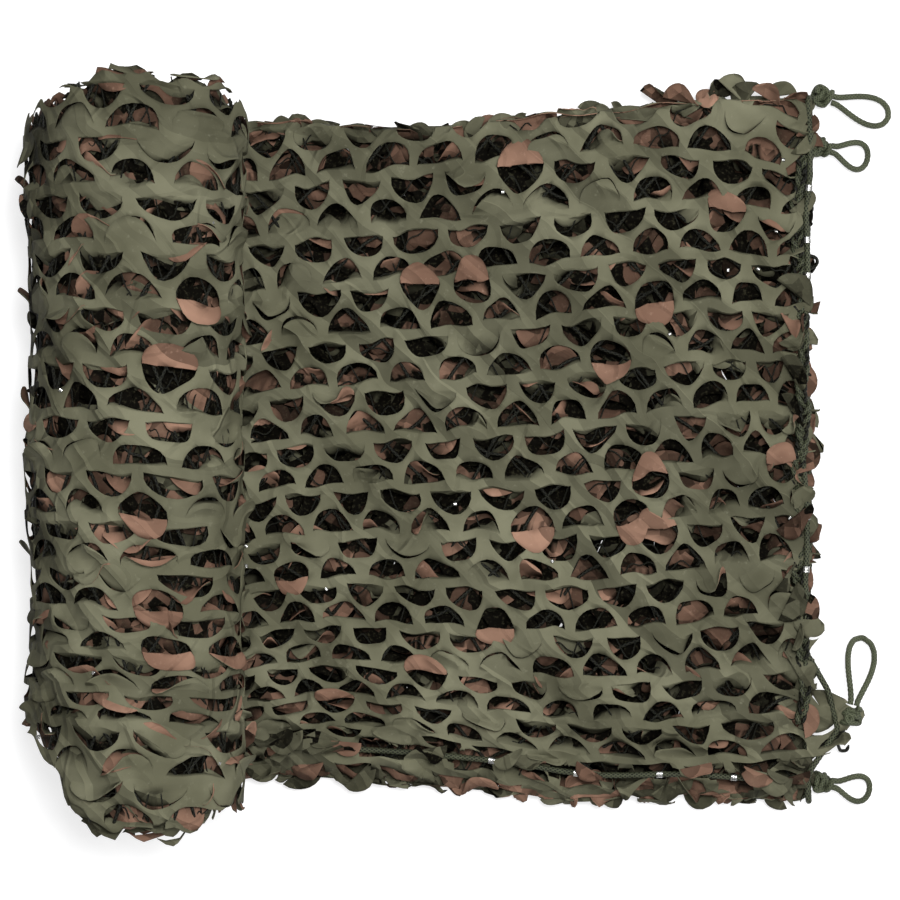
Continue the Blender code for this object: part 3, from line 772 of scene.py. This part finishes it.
# drifts hold weights over the powers of the column and row numbers, the limits within which they
# count, and the straight steps past them; the weights in x and y weren't chosen by hand, because a
# separate script fitted them to the rows of cuts
topDrift = dict(
    centre=2.0, reach=(5.0, 6.0), degree=4, columns=(-4.0, 7.6), rows=(-6.6, 7.2),
    pastX=(0.047, -0.008), pastY=(0.004, 0.050),
    x=(0.0749, -0.0444, -0.007, 0.006, 0.0128, 0.2493, 0.0027, 0.014, -0.0001,
       -0.0061, 0.0035, 0.0104, -0.012, 0.0009, -0.0005),
    y=(-0.0326, 0.307, 0.0105, -0.0156, 0.0129, 0.0158, 0.031, -0.0167, -0.0042,
       0.0206, -0.0146, -0.0044, 0.0009, -0.0146, -0.0134),
)
rollDrift = dict(
    centre=1.0, reach=(3.0, 6.0), degree=3, columns=(0.0, 2.0), rows=(-6.0, 6.0),
    pastX=(leaf["pitchX"], 0.0), pastY=(0.0, 0.050),
    x=(0.0066, -0.0212, 0.025, -0.0106, 0.1782, -0.0233, 0.0337, 0.0798, -0.0419, 0.0561),
    y=(-0.0178, 0.2888, 0.0358, -0.0147, -0.0104, 0.0066, -0.0016, 0.0016, -0.002, 0.0018),
)
stripSlide = dict(share=0.7, table=((0.0045, 8.0, 17.0, 2.6), (0.0030, 24.0, -13.0, 0.2)))
rollSlide = dict(share=-0.6, table=((0.0040, 15.0, 8.0, 2.2), (0.0028, 9.0, -23.0, 0.5)))


def powerSum(weights, a, b, degree):
    # weights run over the powers of a, and within each over the powers of b
    total, k = 0.0, 0
    for i in range(degree + 1):
        for j in range(degree + 1 - i):
            total = total + weights[k] * a**i * b**j
            k += 1
    return total


def driftPattern(drift):
    # each axis is a sum of powers of the column and row numbers, and goes on straight past its limits
    def pattern(p, q):
        insideP, insideQ = np.clip(p, *drift["columns"]), np.clip(q, *drift["rows"])
        a = (insideP - drift["centre"]) / drift["reach"][0]
        b = insideQ / drift["reach"][1]
        sums = (powerSum(drift[axis], a, b, drift["degree"]) for axis in ("x", "y"))
        return [total + past[0] * (p - insideP) + past[1] * (q - insideQ)
                for total, past in zip(sums, (drift["pastX"], drift["pastY"]))]
    return pattern


def latticePattern(slow, shift, turn=0.0, squeeze=1.0):
    # a plain turned lattice with a slow drift
    cos, sin = math.cos(turn), math.sin(turn)

    def pattern(p, q):
        u, v = p * leaf["pitchX"] * squeeze, q * leaf["pitchY"]
        x, y = cos * u - sin * v, sin * u + cos * v
        slide = waves(x, y, slow["table"])
        return x + shift[0] + slide, y + shift[1] + slow["share"] * slide
    return pattern


def stripRuffle(x, y):
    # soft wrinkles; gathers run along the cloth close to the front edge
    soft = ((0.0013, 62.0, 31.0, 0.3), (0.0011, -49.0, 78.0, 1.4), (0.0007, 131.0, -68.0, 2.2),
            (0.0010, 105.0, 20.0, 0.9))
    crush = ((0.0026, 24.0, 175.0, 0.7), (0.0018, -47.0, 242.0, 2.0))
    front = smoothstep(0.13, 0.05, y - outline(x)[1])
    return waves(x, y, soft) + front * waves(x, y, crush)


# openings in the top layer over the edge rope, from x to x, and half their width
ropeWindows = ((-0.088, -0.026), (-0.004, 0.044), (0.098, 0.130), (0.150, 0.227), (0.253, 0.287))
windowHalf = 0.0070


def ropeLine(x):
    # the edge rope strays a little from the cloth's straight edge
    drawnIn = rope["drawnIn"] * smoothstep(0.06, 0.17, x)
    return outline(x)[1] + strip["topInset"] - rope["offset"] - drawnIn


def topRuffle(x, y):
    # the top cloth also rises over the edge rope
    return stripRuffle(x, y) + rope["lift"] * np.exp(-(((y - ropeLine(x)) / rope["liftWidth"]) ** 2))


def endNotch(y):
    # where the top layer stops short of the free end and bares the cords under it
    return smoothstep(*strip["notch"][0], y) * smoothstep(*strip["notch"][1], y)


def stripTrim(layer):
    # ragged edges; the top layer is drawn out at the pulled corner and cut back at the notch
    def trim(x, y, slack):
        back, front = outline(x)
        ragged = 0.006 * np.sin(83.0 * x + 1.3 * layer) + 0.004 * np.sin(197.0 * x + layer) - slack
        near = {0: front - 0.002 + ragged, 3: front + 0.006 + ragged}.get(layer, front - 0.006)
        end = strip["end"] + 0.003 + 0.007 * np.sin(61.0 * y + layer) + 0.004 * np.sin(171.0 * y + 1.0)
        bell = np.exp(-(((y - strip["cornerY"]) / strip["cornerNarrow"]) ** 2))
        end = end - (strip["notchDepth"] if layer == 0 else 0.003) * endNotch(y)
        end = end + strip["cornerTip"] * bell * (layer == 0)
        return np.clip(x, strip["tuckFrom"], end + slack), np.clip(y, near, back + 0.004)
    return trim


def topNear(x, y, side):
    # leaves over the edge rope and in front of it stay mostly shut
    return (y + side * 0.012) < ropeLine(x) + 0.018 + 0.030 * (1.0 + np.sin(91.0 * x + 57.0 * y))


def topKeep(x, y):
    # openings that show the edge rope
    good = np.ones(x.shape, dtype=bool)
    for low, high in ropeWindows:
        good = good & ~((x > low) & (x < high) & (np.abs(y - ropeLine(x)) < windowHalf))
    return good


def stripShade(strength, edge=0.045):
    # what lies deep under the top layer darkens, except by the open edges
    def shade(x, y, place):
        depth = stripHeight(place[..., 0], place[..., 1], 3.0) - place[..., 2]
        back, front = outline(place[..., 0])
        inside = smoothstep(0.004, edge, place[..., 1] - front)
        inside = inside * smoothstep(0.002, edge, back - place[..., 1])
        inside = inside * smoothstep(0.0, edge, strip["end"] - place[..., 0])
        inside = np.maximum(inside, endNotch(place[..., 1]) * (depth > 0.004))
        return strength * smoothstep(0.0020, 0.0105, depth) * (0.35 + 0.65 * inside)
    return shade


# shares are those of the kinds in leafStates, low and high their first angles in degrees
topMix = dict(
    shares=(0.01, 0.08, 0.785, 0.12, 0.005), low=(-13, -42, -74, 14, 172), high=(2, -66, -118, 50, 186),
    curl=9.0, twist=16.0, crease=80.0, depth=0.0170, lit=0.45)
secondMix = dict(
    shares=(0.10, 0.20, 0.15, 0.50, 0.05), low=(-10, -30, -60, 10, 165), high=(8, -50, -95, 62, 188),
    curl=14.0, twist=26.0, crease=110.0, depth=0.0090, lit=0.70)
thirdMix = dict(
    shares=(0.35, 0.20, 0.10, 0.35, 0.0), low=(-8, -25, -50, 8, 170), high=(6, -45, -80, 50, 180),
    curl=8.0, twist=12.0, crease=60.0, depth=0.0080, lit=0.50)
shutMix = dict(
    shares=(0.90, 0.05, 0.0, 0.05, 0.0), low=(-4, -20, -50, 5, 170), high=(3, -35, -80, 18, 180),
    curl=2.0, twist=4.0, crease=4.0, depth=0.0020, lit=0.0)
# turned-over leaves by row, column and side, mostly the first ones in a separate script's scores
turnedTop = (
    (4, 1, -1), (-1, 4, 1), (6, 2, -1), (4, 0, -1), (-1, 2, 1), (-1, 4, -1), (0, 4, -1), (-3, 1, 1),
    (5, 6, -1), (2, 4, 1), (0, 7, -1), (-4, -1, -1), (3, 5, 1))
turnedRoll = ((3, 2, 1), (-1, 1, 1), (-4, 2, 1), (-3, 1, 1), (2, 1, -1))
greenUp, brownUp = [greenCloth, brownCloth], [brownCloth, greenCloth]
below = dict(rows=(-8, 9), cols=(-7, 9), shadeAt=stripShade(1.0), ruffle=stripRuffle)
layers = (
    dict(mix=topMix, looks=greenUp, pattern=driftPattern(topDrift), rows=(-9, 9), cols=(-6, 9),
         shadeAt=stripShade(0.97), turned=turnedTop, ruffle=topRuffle, keep=topKeep, near=topNear),
    dict(below, mix=secondMix, looks=brownUp,
         pattern=latticePattern(stripSlide, (0.013, 0.021), 0.05, 0.90)),
    dict(below, mix=thirdMix, looks=greenUp, detail="coarse",
         pattern=latticePattern(stripSlide, (-0.011, 0.004), 0.11, 0.92)),
    dict(below, mix=shutMix, looks=brownUp, detail="coarse",
         pattern=latticePattern(stripSlide, (0.004, -0.014), 0.08, 0.92)),
)
for number, layer in enumerate(layers):
    leafCloth(f"garnishLayer{number + 1}", (0.69, 0.66), 11 + number, trim=stripTrim(number),
              place=partial(foldMap.place, number), **layer)


# rolled cloth

roll = dict(
    x=-0.2925, radius=0.1185, sink=0.0025, turnStep=0.0292,
    front=-0.366, back=0.354, lump=0.0030, cut=0.088, floorGap=0.0006, away=0.60,
)


class RollMap:
    # turns distance along a wound ply, y and height into a place; the distance is zero on top
    def __init__(self, ply):
        self.ply = ply
        self.turns = np.linspace(-0.02, 4.2, 1600)
        radius = roll["radius"] - self.sunk(self.turns) - ply * self.plyPitch(self.turns)
        girth = 2.0 * math.pi * np.maximum(radius, 0.004)
        self.over = np.concatenate(([0.0], np.cumsum(girth[:-1] * np.diff(self.turns))))
        self.over -= np.interp(0.5, self.turns, self.over)

    def sunk(self, turn):
        # how far the outer ply has wound inwards: slower after the first turn
        inner = np.clip(turn - 1.0, 0.0, None)
        return roll["turnStep"] * (turn - 0.10 * inner**1.5)

    def plyPitch(self, turn):
        # the distance between two plies: a quarter of what one turn winds inwards
        return (self.sunk(turn + 1.0) - self.sunk(turn)) / 4.0

    def radius(self, turn, y):
        # the first radius less what has wound inwards and the plies outside this one; slow waves
        # make lumps, which fade where a turn meets the floor, and the two ends draw in
        angle = 2.0 * math.pi * turn
        fade = smoothstep(0.03, 0.20, np.abs(turn - np.round(turn)))
        fade = fade * np.clip(1.0 - 0.12 * turn, 0.3, 1.0)
        lumps = np.sin(2.0 * angle + 9.0 * y) * np.sin(13.0 * y + 0.4) + 0.5 * np.sin(27.0 * y + angle)
        ends = 0.006 * (smoothstep(0.30, 0.36, y) + smoothstep(0.31, 0.37, -y))
        return (roll["radius"] - self.sunk(turn) - self.ply * self.plyPitch(turn)
                + fade * (roll["lump"] * lumps - ends))

    def turnAt(self, over):
        # the number of turns at a distance along the ply
        return np.interp(over, self.over, self.turns)

    def edges(self, over):
        # front and back edge of the cloth: it is set back on the outer side of the roll
        turn = self.turnAt(over)
        outward = -np.sin(2.0 * math.pi * turn) * np.clip(1.25 - 0.35 * turn, 0.3, 1.0)
        slant = 0.007 * np.sin(3.3 * turn + 0.5)
        front = roll["front"] + roll["cut"] * smoothstep(0.30, 1.05, -outward)
        front = front + 0.014 * smoothstep(0.3, 1.0, outward) + slant + 0.007
        back = roll["back"] - 0.026 * smoothstep(0.35, 1.0, -outward)
        back = back - 0.010 * smoothstep(0.3, 1.0, outward) + slant - 0.007
        return front, back

    def place(self, over, y, lift):
        # a circle about the roll's axis, from the floor outwards and over, with the turn's radius
        turn = self.turnAt(over)
        radius = np.maximum(self.radius(turn, y) + lift, 0.002)
        angle = 2.0 * math.pi * turn
        x = roll["x"] - radius * np.sin(angle)
        z = roll["radius"] - roll["sink"] - radius * np.cos(angle)
        return np.stack((x, y + 0.0 * x, np.maximum(z, roll["floorGap"])), axis=-1)


def rollRuffle(over, y):
    # soft wrinkles
    soft = (0.0012, 61.0, 37.0, 0.5), (0.0010, -42.0, 84.0, 1.1), (0.0007, 120.0, 61.0, 2.7)
    return waves(over, y, soft)


def rollTrim(wound, first, last):
    # ragged front and back edges, from the first turn of the ply to its last
    low, high = np.interp((first, last), wound.turns, wound.over)

    def trim(over, y, slack):
        front, back = wound.edges(over)
        front = front + 0.009 + 0.004 * np.sin(71.0 * over) + 0.004 * np.sin(163.0 * over + 1.0)
        back = back - 0.008 + 0.004 * np.sin(67.0 * over + 2.0) + 0.004 * np.sin(151.0 * over)
        return np.clip(over, low, high), np.clip(y, front - slack, back + slack)
    return trim


def endsOnly(wound, width):
    # only a band along the front and the back edge is kept
    def keep(over, y):
        front, back = wound.edges(over)
        return (y < front + width) | (y > back - width)
    return keep


def rollShade(wound, base, strength):
    # shade grows with the depth under the outer ply and on the side turned away from the strip
    def shade(over, y, place):
        turn = wound.turnAt(over)
        radius = np.hypot(place[..., 0] - roll["x"], place[..., 2] - roll["radius"] + roll["sink"])
        depth = wound0.radius(turn, y) - radius
        away = roll["away"] * smoothstep(0.45, 0.25, turn)
        front, back = wound.edges(over)
        inside = smoothstep(0.004, 0.050, y - front) * smoothstep(0.004, 0.040, back - y)
        return (base + away + strength * smoothstep(0.0015, 0.0090, depth)) * (0.35 + 0.65 * inside)
    return shade


def rollNear(over, y, side):
    # leaves towards the front end of the roll stay mostly shut
    return y < -0.085 + 0.045 * np.sin(40.0 * over + 33.0 * y)


def innerShade(over, y, place):
    # the inner turns darken away from the roll's two ends
    return np.clip(0.35 + 0.0 * over + 6.0 * (0.33 - np.abs(y)), 0.2, 0.95)


rollMix = dict(
    shares=(0.03, 0.13, 0.695, 0.14, 0.005), low=(-14, -40, -68, 10, 172), high=(4, -62, -100, 40, 186),
    curl=11.0, twist=18.0, crease=70.0, depth=0.0085, lit=0.70)
rollSecondMix = dict(
    shares=(0.20, 0.22, 0.22, 0.34, 0.02), low=(-8, -25, -50, 8, 165), high=(8, -45, -80, 50, 185),
    curl=13.0, twist=26.0, crease=110.0, depth=0.0060, lit=0.60)
wound0, wound1, wound2, wound3 = (RollMap(ply) for ply in range(4))
# shade is its base and its strength
plies = (
    dict(wound=wound0, mix=rollMix, shade=(0.0, 0.90), looks=greenUp, pattern=driftPattern(rollDrift),
         turned=turnedRoll, first=0.0, cols=(-6, 9), near=rollNear),
    dict(wound=wound1, mix=rollSecondMix, shade=(0.12, 0.88), looks=brownUp,
         pattern=latticePattern(rollSlide, (0.021, -0.013))),
    dict(wound=wound2, mix=thirdMix, shade=(0.40, 0.60), looks=greenUp, detail="coarse",
         pattern=latticePattern(rollSlide, (0.003, 0.020))),
    dict(wound=wound3, mix=shutMix, shade=(0.75, 0.25), looks=brownUp, detail="coarse",
         pattern=latticePattern(rollSlide, (0.011, 0.004))),
)
for number, ply in enumerate(plies):
    ply = dict(dict(cols=(-7, 8), first=0.02), **ply)
    wound, shade, first = (ply.pop(key) for key in ("wound", "shade", "first"))
    leafCloth(f"rollPly{number + 1}", (0.70, 0.72 - 0.03 * number), 31 + number, rows=(-9, 9),
              place=wound.place, trim=rollTrim(wound, first, 1.02), shadeAt=rollShade(wound, *shade),
              ruffle=rollRuffle, **ply)
for number, (wound, looks) in enumerate(((wound0, greenUp), (wound2, brownUp))):
    leafCloth(f"rollInner{number + 1}", (0.15, 1.20 - 0.25 * number), 41 + number, (-9, 9), (4, 26),
              thirdMix, latticePattern(rollSlide, (0.0, 0.01)), wound.place, rollTrim(wound, 1.0, 3.6),
              innerShade, looks, "coarse", keep=endsOnly(wound, 0.075))


# edge rope and its clips

def ropeRoute():
    # top front edge, round the end of the folded cloth, then along the bottom front edge
    x = np.linspace(rope["start"], strip["end"] - 0.001, rope["edgeSamples"])
    front, line = outline(x)[1], ropeLine(x)
    droop = 9.0 * (front + strip["topInset"] - line) ** 2
    top = np.column_stack((x, line, stripHeight(x, line, 3) - droop))
    line = front + strip["lowInset"] - rope["offset"]
    low = np.column_stack((x, line, np.maximum(stripHeight(x, line, 0), rope["low"])))[::-1]
    y, level = foldedPath(strip["end"], rope["endSamples"])
    reach, sink = endShift(y, level)
    edge = np.column_stack((strip["end"] + reach, y, stripHeight(strip["end"], y, level) - sink))
    heading = unit(np.gradient(edge, axis=0))
    end = edge + rope["offset"] * unit(np.array((1.0, 0.0, 0.0)) - heading[:, :1] * heading)
    slackEnd = smoothstep(0.29, 0.23, y) * smoothstep(-0.28, -0.22, y) * smoothstep(2.4, 2.9, level)
    end[:, 0] -= slackEnd * (0.0050 + 0.0022 * np.sin(31.0 * y))
    end[:, 2] = np.maximum(end[:, 2], rope["low"])
    corner = np.array((0.70, 0.21, 0.0)) * rope["offset"]
    return np.concatenate((top, [top[-1] + corner], end, [low[0] + corner], low))


edgePath = softPath(ropeRoute(), rope["edgeStep"], rope["edgeSoften"])
# the edge rope wears the copy of the rope painted darker as shade
edgeRope = ropeTubes(
    "edgeRope", [edgePath], rope["radius"], rope["edgeTube"], ropeShaded, pitch=rope["edgePitch"])
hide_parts("edge_rope")
print("edge rope", len(edgePath), "rings")

# the profile holds a share of the wall outwards and a share of the width along
clip = dict(
    inner=0.0031, wall=0.0006, width=0.0060, sides=20, flatten=0.16, loose=0.52,
    profile=((0.0, -0.50), (1.0, -0.50), (1.15, -0.44), (1.0, -0.30), (0.62, -0.20), (1.0, -0.10),
             (1.1, 0.0), (1.0, 0.10), (0.62, 0.20), (1.0, 0.30), (1.15, 0.44), (1.0, 0.50),
             (0.0, 0.50)),
)


def clipBand(name, places, headings, up, size):
    # crimped sleeves: a ring whose radius is pressed in along two grooves and on its flat top
    profile = np.array(clip["profile"])
    rings, sides = len(profile), clip["sides"]
    turn, cos, sin = roundTurn(sides)
    flatten = 1.0 - clip["flatten"] * np.clip(np.sin(turn), 0.0, 1.0) ** 3
    index = np.arange(rings * sides).reshape(rings, sides)
    after, beside = np.roll(index, -1, axis=0), np.roll(index, -1, axis=1)
    quads = np.stack((index, after, np.roll(beside, -1, axis=0), beside), axis=-1).reshape(-1, 4)
    points, faces = [], []
    for place, heading in zip(places, headings):
        heading = unit(heading)
        side = unit(np.cross(heading, up))
        radius = (clip["inner"] + clip["wall"] * profile[:, :1]) * flatten[None, :] * size
        ring = (place + radius[..., None] * (cos * side + sin * np.cross(side, heading))
                + (profile[:, 1] * clip["width"] * size)[:, None, None] * heading)
        faces.append(quads + len(points) * rings * sides)
        points.append(ring.reshape(-1, 3))
    faces = np.concatenate(faces).tolist()
    band = meshPiece(name, np.concatenate(points), faces, [clipMetal])
    reworked(band, lambda shape: bmesh.ops.recalc_face_normals(shape, faces=shape.faces[:]))
    return band


clipNodes = sorted(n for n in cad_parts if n.startswith("clip_"))
for node in clipNodes:
    corners = np.array([list(c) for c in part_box(node)])
    middle = corners.mean(axis=0) - origin
    near = int(np.argmin(np.linalg.norm(edgePath - middle, axis=1)))
    heading = edgePath[min(near + 2, len(edgePath) - 1)] - edgePath[max(near - 2, 0)]
    band = clipBand(f"crimp{node[5:]}", [edgePath[near]], [heading], (0.0, 0.0, 1.0), 1.0)
    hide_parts(node)
print("clips on the rope:", len(clipNodes))

# loose clips that pin the cloth to the netting: plan x and y in millimetres, where the camera
# would see them on the floor; those left of the roll's edge lie on the roll
looseClips = np.array((
    (-389, 60), (-204, -96), (-204, -116), (-356, -223), (-412, -287), (-322, -314), (-231, -313),
    (-237, 227), (53, 258), (5, -54), (102, -111), (220, 116), (278, 180), (333, 290), (326, 219),
    (308, 181), (128, -313), (352, -258), (-124, -139), (-68, -235), (-121, -307), (340, -68),
    (302, -130)), dtype=float) / 1000.0
rollEdge, rollFlank = -0.192, 0.11


def surfaceUnder(x, y):
    # the place on the roll's or the strip's top surface that meets the camera's ray to a floor place
    turn = np.linspace(0.14, 0.86, 240)
    radius = wound0.radius(turn, y)
    rollX = roll["x"] - radius * np.sin(2 * math.pi * turn)
    rollZ = roll["radius"] - roll["sink"] - radius * np.cos(2 * math.pi * turn)
    seen = rollX * view["height"] / (view["height"] - rollZ)
    if x < rollEdge:
        hidden = np.where(rollZ < rollFlank, 0.05, 0.0)     # the flank lies out of sight
        z = rollZ[int(np.argmin(np.abs(seen - x) + hidden))]
    else:
        z = float(stripHeight(x, y, 3.0))
    scale = (view["height"] - z) / view["height"]
    return np.array((x * scale, y * scale, z))


spots = [surfaceUnder(x, y) + np.array((0.0, 0.0, 0.0005)) for x, y in looseClips]
spin = np.random.default_rng(5).uniform(0, math.pi, len(spots))
tilted = [np.array((math.cos(angle), math.sin(angle), 0.15)) for angle in spin]
clipBand("netClips", spots, tilted, (0.1, 0.0, 1.0), clip["loose"])
print("net clips:", len(spots))


# knotted twine netting

netTwine = dict(
    radius=0.0018, mesh=0.106, under=0.0080, sides=7, step=0.005, slack=0.011, rows=8, swirl=1.0)
thinTwine = dict(
    radius=0.0008, mesh=0.068, under=0.0062, sides=5, step=0.003, slack=0.0125, rows=12, swirl=2.7)
twineBraid = dict(strands=2, pitch=0.0034)
# how far the lines run, and how far inside the cloth's edges they stay
netPlace = dict(
    reach=0.62, shift=0.04, start=-0.24, endGap=0.004, frontGap=0.02, backGap=0.008, fewest=4,
    overRoll=0.55, turns=(0.12, 0.90), rollGap=0.006, rollUnder=0.0060,
)


def twineLines(twine):
    # two slanting families of lines over the strip and the roll, wavy, just under the top cloth
    lines = []
    s = np.arange(-netPlace["reach"], netPlace["reach"], twine["step"])
    for slant in (1.0, -1.0):
        for k in np.arange(-twine["rows"], twine["rows"] + 1):
            sway = (1.0, 23.0, 1.7, 0.0), (0.6, 47.0, 1.0, 0.0), (0.35, 97.0, -2.3, slant)
            y = slant * s + k * twine["mesh"] + twine["slack"] * waves(s * twine["swirl"], k, sway)
            x = s + netPlace["shift"]
            back, front = outline(x)
            good = (x > netPlace["start"]) & (x < strip["end"] - netPlace["endGap"])
            good = good & (y > front + netPlace["frontGap"]) & (y < back - netPlace["backGap"])
            if good.sum() > netPlace["fewest"]:
                xs, ys = x[good], y[good]
                zs = stripHeight(xs, ys, 3.0) + stripRuffle(xs, ys) - twine["under"]
                lines.append(np.column_stack((xs, ys, zs + 0.0016 * np.sin(60.0 * xs + k))))
            over = s * netPlace["overRoll"]
            turn, (front, back) = wound0.turnAt(over), wound0.edges(over)
            good = (turn > netPlace["turns"][0]) & (turn < netPlace["turns"][1])
            good = good & (y > front + netPlace["rollGap"]) & (y < back - netPlace["rollGap"])
            if good.sum() > netPlace["fewest"]:
                lift = -netPlace["rollUnder"] + 0.0010 * np.sin(50.0 * y[good])
                lines.append(wound0.place(over[good], y[good], lift))
    return lines


for name, twine in (("twineNet", netTwine), ("twineThin", thinTwine)):
    netLines = twineLines(twine)
    ropeTubes(name, netLines, twine["radius"], (twine["sides"], 0.10), twineBlack, **twineBraid)
    print(name, len(netLines), "lines")


# leaf tips that stand out along the edges

fringe = dict(size=(0.42, 1.0), step=0.016, skip=0.26, shade=(0.05, 0.60), brown=0.28)
tipMix = dict(
    shares=(0.0, 0.0, 0.0, 1.0, 0.0), low=(0, 0, 0, -22, 0), high=(0, 0, 0, 44, 0),
    curl=16.0, twist=22.0, crease=90.0, depth=0.006)


def leafTips(name, anchors, headings, seed, looks):
    # single leaves, each hinged at an anchor and pointing along its heading
    rng = np.random.default_rng(seed)
    count = len(anchors)
    column = leafTemplate(leaf["fine"])[0]
    across, along, lift = bentLeaf(column, 1.0, leafStates(rng, (1, count), tipMix), leaf["fineRows"])
    size = rng.uniform(*fringe["size"], count)[:, None, None, None]
    ahead = np.column_stack((np.cos(headings), np.sin(headings), np.zeros(count)))[:, None, None, :]
    side = np.column_stack((-np.sin(headings), np.cos(headings), np.zeros(count)))[:, None, None, :]
    along, across, lift = (np.broadcast_to(v, lift.shape)[0][..., None] for v in (
        along - leaf["strip"] / 2, across, lift))
    points = np.array(anchors)[:, None, None, :] + size * (
        along * ahead - across * side + lift * np.array((0.0, 0.0, 1.0)))
    points[..., 2] = np.maximum(points[..., 2], roll["floorGap"])
    faces = gridFaces(count, len(column), len(leaf["fineRows"])).reshape(-1, 4)
    flat = points.reshape(-1, 3)
    shade = rng.uniform(*fringe["shade"], count).repeat(len(flat) // count)
    finishCloth(meshPiece(name, flat, faces.tolist(), looks, shade))


def fringeAnchors(seed):
    # where single leaves are hinged and which way they point, with headings in degrees
    rng = np.random.default_rng(seed)
    anchors, headings = [], []

    def add(x, y, z, heading):
        if rng.random() > fringe["skip"]:
            anchors.append((x, y, z))
            headings.append(math.radians(heading))
    # leaves along the back and the front edge
    for x in np.arange(-0.215, strip["end"] - 0.004, fringe["step"]):
        at = x + rng.uniform(-0.006, 0.006)
        back, front = outline(at)
        far = smoothstep(0.02, 0.24, at)
        add(at, back - 0.012 + 0.011 * far + rng.uniform(-0.005, 0.003), rng.uniform(0.012, 0.038),
            rng.uniform(20, 160))
        add(at, front + 0.010 + rng.uniform(-0.007, 0.008), rng.uniform(0.006, 0.026),
            rng.uniform(-165, -15))
    # leaves along the free end
    for y in np.arange(-0.318, 0.335, fringe["step"]):
        at = y + rng.uniform(-0.008, 0.008)
        add(strip["end"] - rng.uniform(-0.002, 0.010), at, rng.uniform(0.012, 0.044),
            rng.uniform(-75, 75))
    # leaves that lie over the rope along the free end
    for y in np.arange(-0.215, 0.160, 0.017):
        at = y + rng.uniform(-0.006, 0.006)
        x = strip["end"] - rng.uniform(0.008, 0.020)
        add(x, at, stripHeight(x, at, 3.0) + rng.uniform(0.0040, 0.0070), rng.uniform(-60, 60))
    # leaves that lie over the edge rope between its openings
    for x in np.arange(-0.205, strip["end"] - 0.012, 0.0115):
        at = x + rng.uniform(-0.003, 0.003)
        if all(at < low - 0.006 or at > high + 0.006 for low, high in ropeWindows):
            line = ropeLine(at) + rng.uniform(0.006, 0.010)
            anchors.append((at, line, stripHeight(at, line, 3.0) + rng.uniform(0.0050, 0.0065)))
            headings.append(math.radians(rng.uniform(-125, -55)))
    # a leaf over the second corner knot
    anchors.append((0.350, 0.303, 0.027))
    headings.append(0.1)
    return np.array(anchors), np.array(headings)


anchors, headings = fringeAnchors(71)
browns = np.random.default_rng(72).random(len(anchors)) < fringe["brown"]
leafTips("edgeTips", anchors[~browns], headings[~browns], 73, greenUp)
leafTips("edgeTipsBrown", anchors[browns], headings[browns], 74, brownUp)
print("edge tips:", len(anchors))


# stray cords at the free end

stray = dict(
    step=0.0016, hookSoften=0.005, fraySoften=0.006, lashStep=0.0020, lashSoften=0.008,
    braid=dict(radius=0.0026, tube=(8, 0.20)), green=dict(radius=0.0019, tube=(8, 0.12)),
    black=dict(radius=0.0018, tube=(8, 0.10)),
)


def endStrands():
    # a slack braid that runs down the free end beside the edge rope: four strands that cross
    y = np.arange(-0.270, 0.292, 0.003)
    middle = strip["end"] - 0.0035 + 0.0030 * np.sin(23.0 * y) + 0.0015 * np.sin(71.0 * y)
    for k in range(4):
        phase = 2.0 * math.pi * (y / 0.036 + k / 4.0)
        width = 0.0046 + 0.0014 * np.sin(37.0 * y + k)
        height = 0.0395 + 0.0030 * np.sin(2.0 * phase) + 0.0030 * np.sin(19.0 * y)
        yield np.column_stack((middle + width * np.sin(phase), y, height))


def endLoop(y, reach, width, height):
    # a small slack loop that stands out from the free end at y
    t = np.linspace(0.0, math.pi, 15)
    return softPath(np.column_stack((
        strip["end"] - 0.004 + reach * np.sin(t), y + width * np.cos(t) * (0.7 + 0.6 * np.sin(t)),
        height + 0.004 * np.sin(2.0 * t))), stray["step"], 0.004)


strands = list(endStrands())
slack = [endLoop(*loopSize) for loopSize in (
    (0.238, 0.013, 0.006, 0.034), (0.186, 0.019, 0.007, 0.028), (0.071, 0.012, 0.006, 0.030),
    (-0.050, 0.010, 0.005, 0.026), (0.130, 0.009, 0.005, 0.036), (-0.170, 0.011, 0.006, 0.030))]
knotted = [endLoop(0.243 - 0.008 * k, 0.010 - 0.001 * (k % 2), 0.010, 0.030 + 0.003 * (k % 3))
           for k in range(4)]
# the frayed end of the edge rope: short strands that fan out at the front edge
frayed = [softPath((
    (0.280, -0.325, 0.018), (0.283 + 0.0012 * k, -0.334, 0.016),
    (0.279 + 0.0038 * k, -0.350 - 0.0015 * math.sin(0.9 * k), 0.006)),
    stray["step"], stray["fraySoften"]) for k in range(8)]
# black ends that hook out at the front edge, and the lashing under the corner knot
hooks = [softPath(points, stray["step"], stray["hookSoften"]) for points in (
    ((0.306, -0.322, 0.020), (0.309, -0.330, 0.016), (0.304, -0.343, 0.006), (0.298, -0.347, 0.005)),
    ((0.322, -0.318, 0.020), (0.326, -0.327, 0.014), (0.320, -0.335, 0.006), (0.309, -0.334, 0.005)),
    ((0.389, -0.281, 0.030), (0.384, -0.290, 0.020), (0.389, -0.300, 0.008), (0.396, -0.300, 0.006),
     (0.398, -0.294, 0.006)))]
lashing = [softPath((
    (0.352, -0.300 + 0.004 * k, 0.030), (0.372, -0.290 + 0.003 * k, 0.030),
    (0.386, -0.282 + 0.002 * k, 0.030 + 0.002 * k), (0.393, -0.268, 0.037)),
    stray["lashStep"], stray["lashSoften"]) for k in range(3)]
ropeTubes("strayBraid", strands[:2], look=ropeShaded, taper=True, **stray["braid"])
ropeTubes("strayGreen", knotted + frayed, look=ropeShaded, taper=True, **stray["green"])
ropeTubes("strayBlack", strands[2:] + slack + hooks + lashing, look=twineBlack, taper=True,
          **twineBraid, **stray["black"])
print("stray cords made")
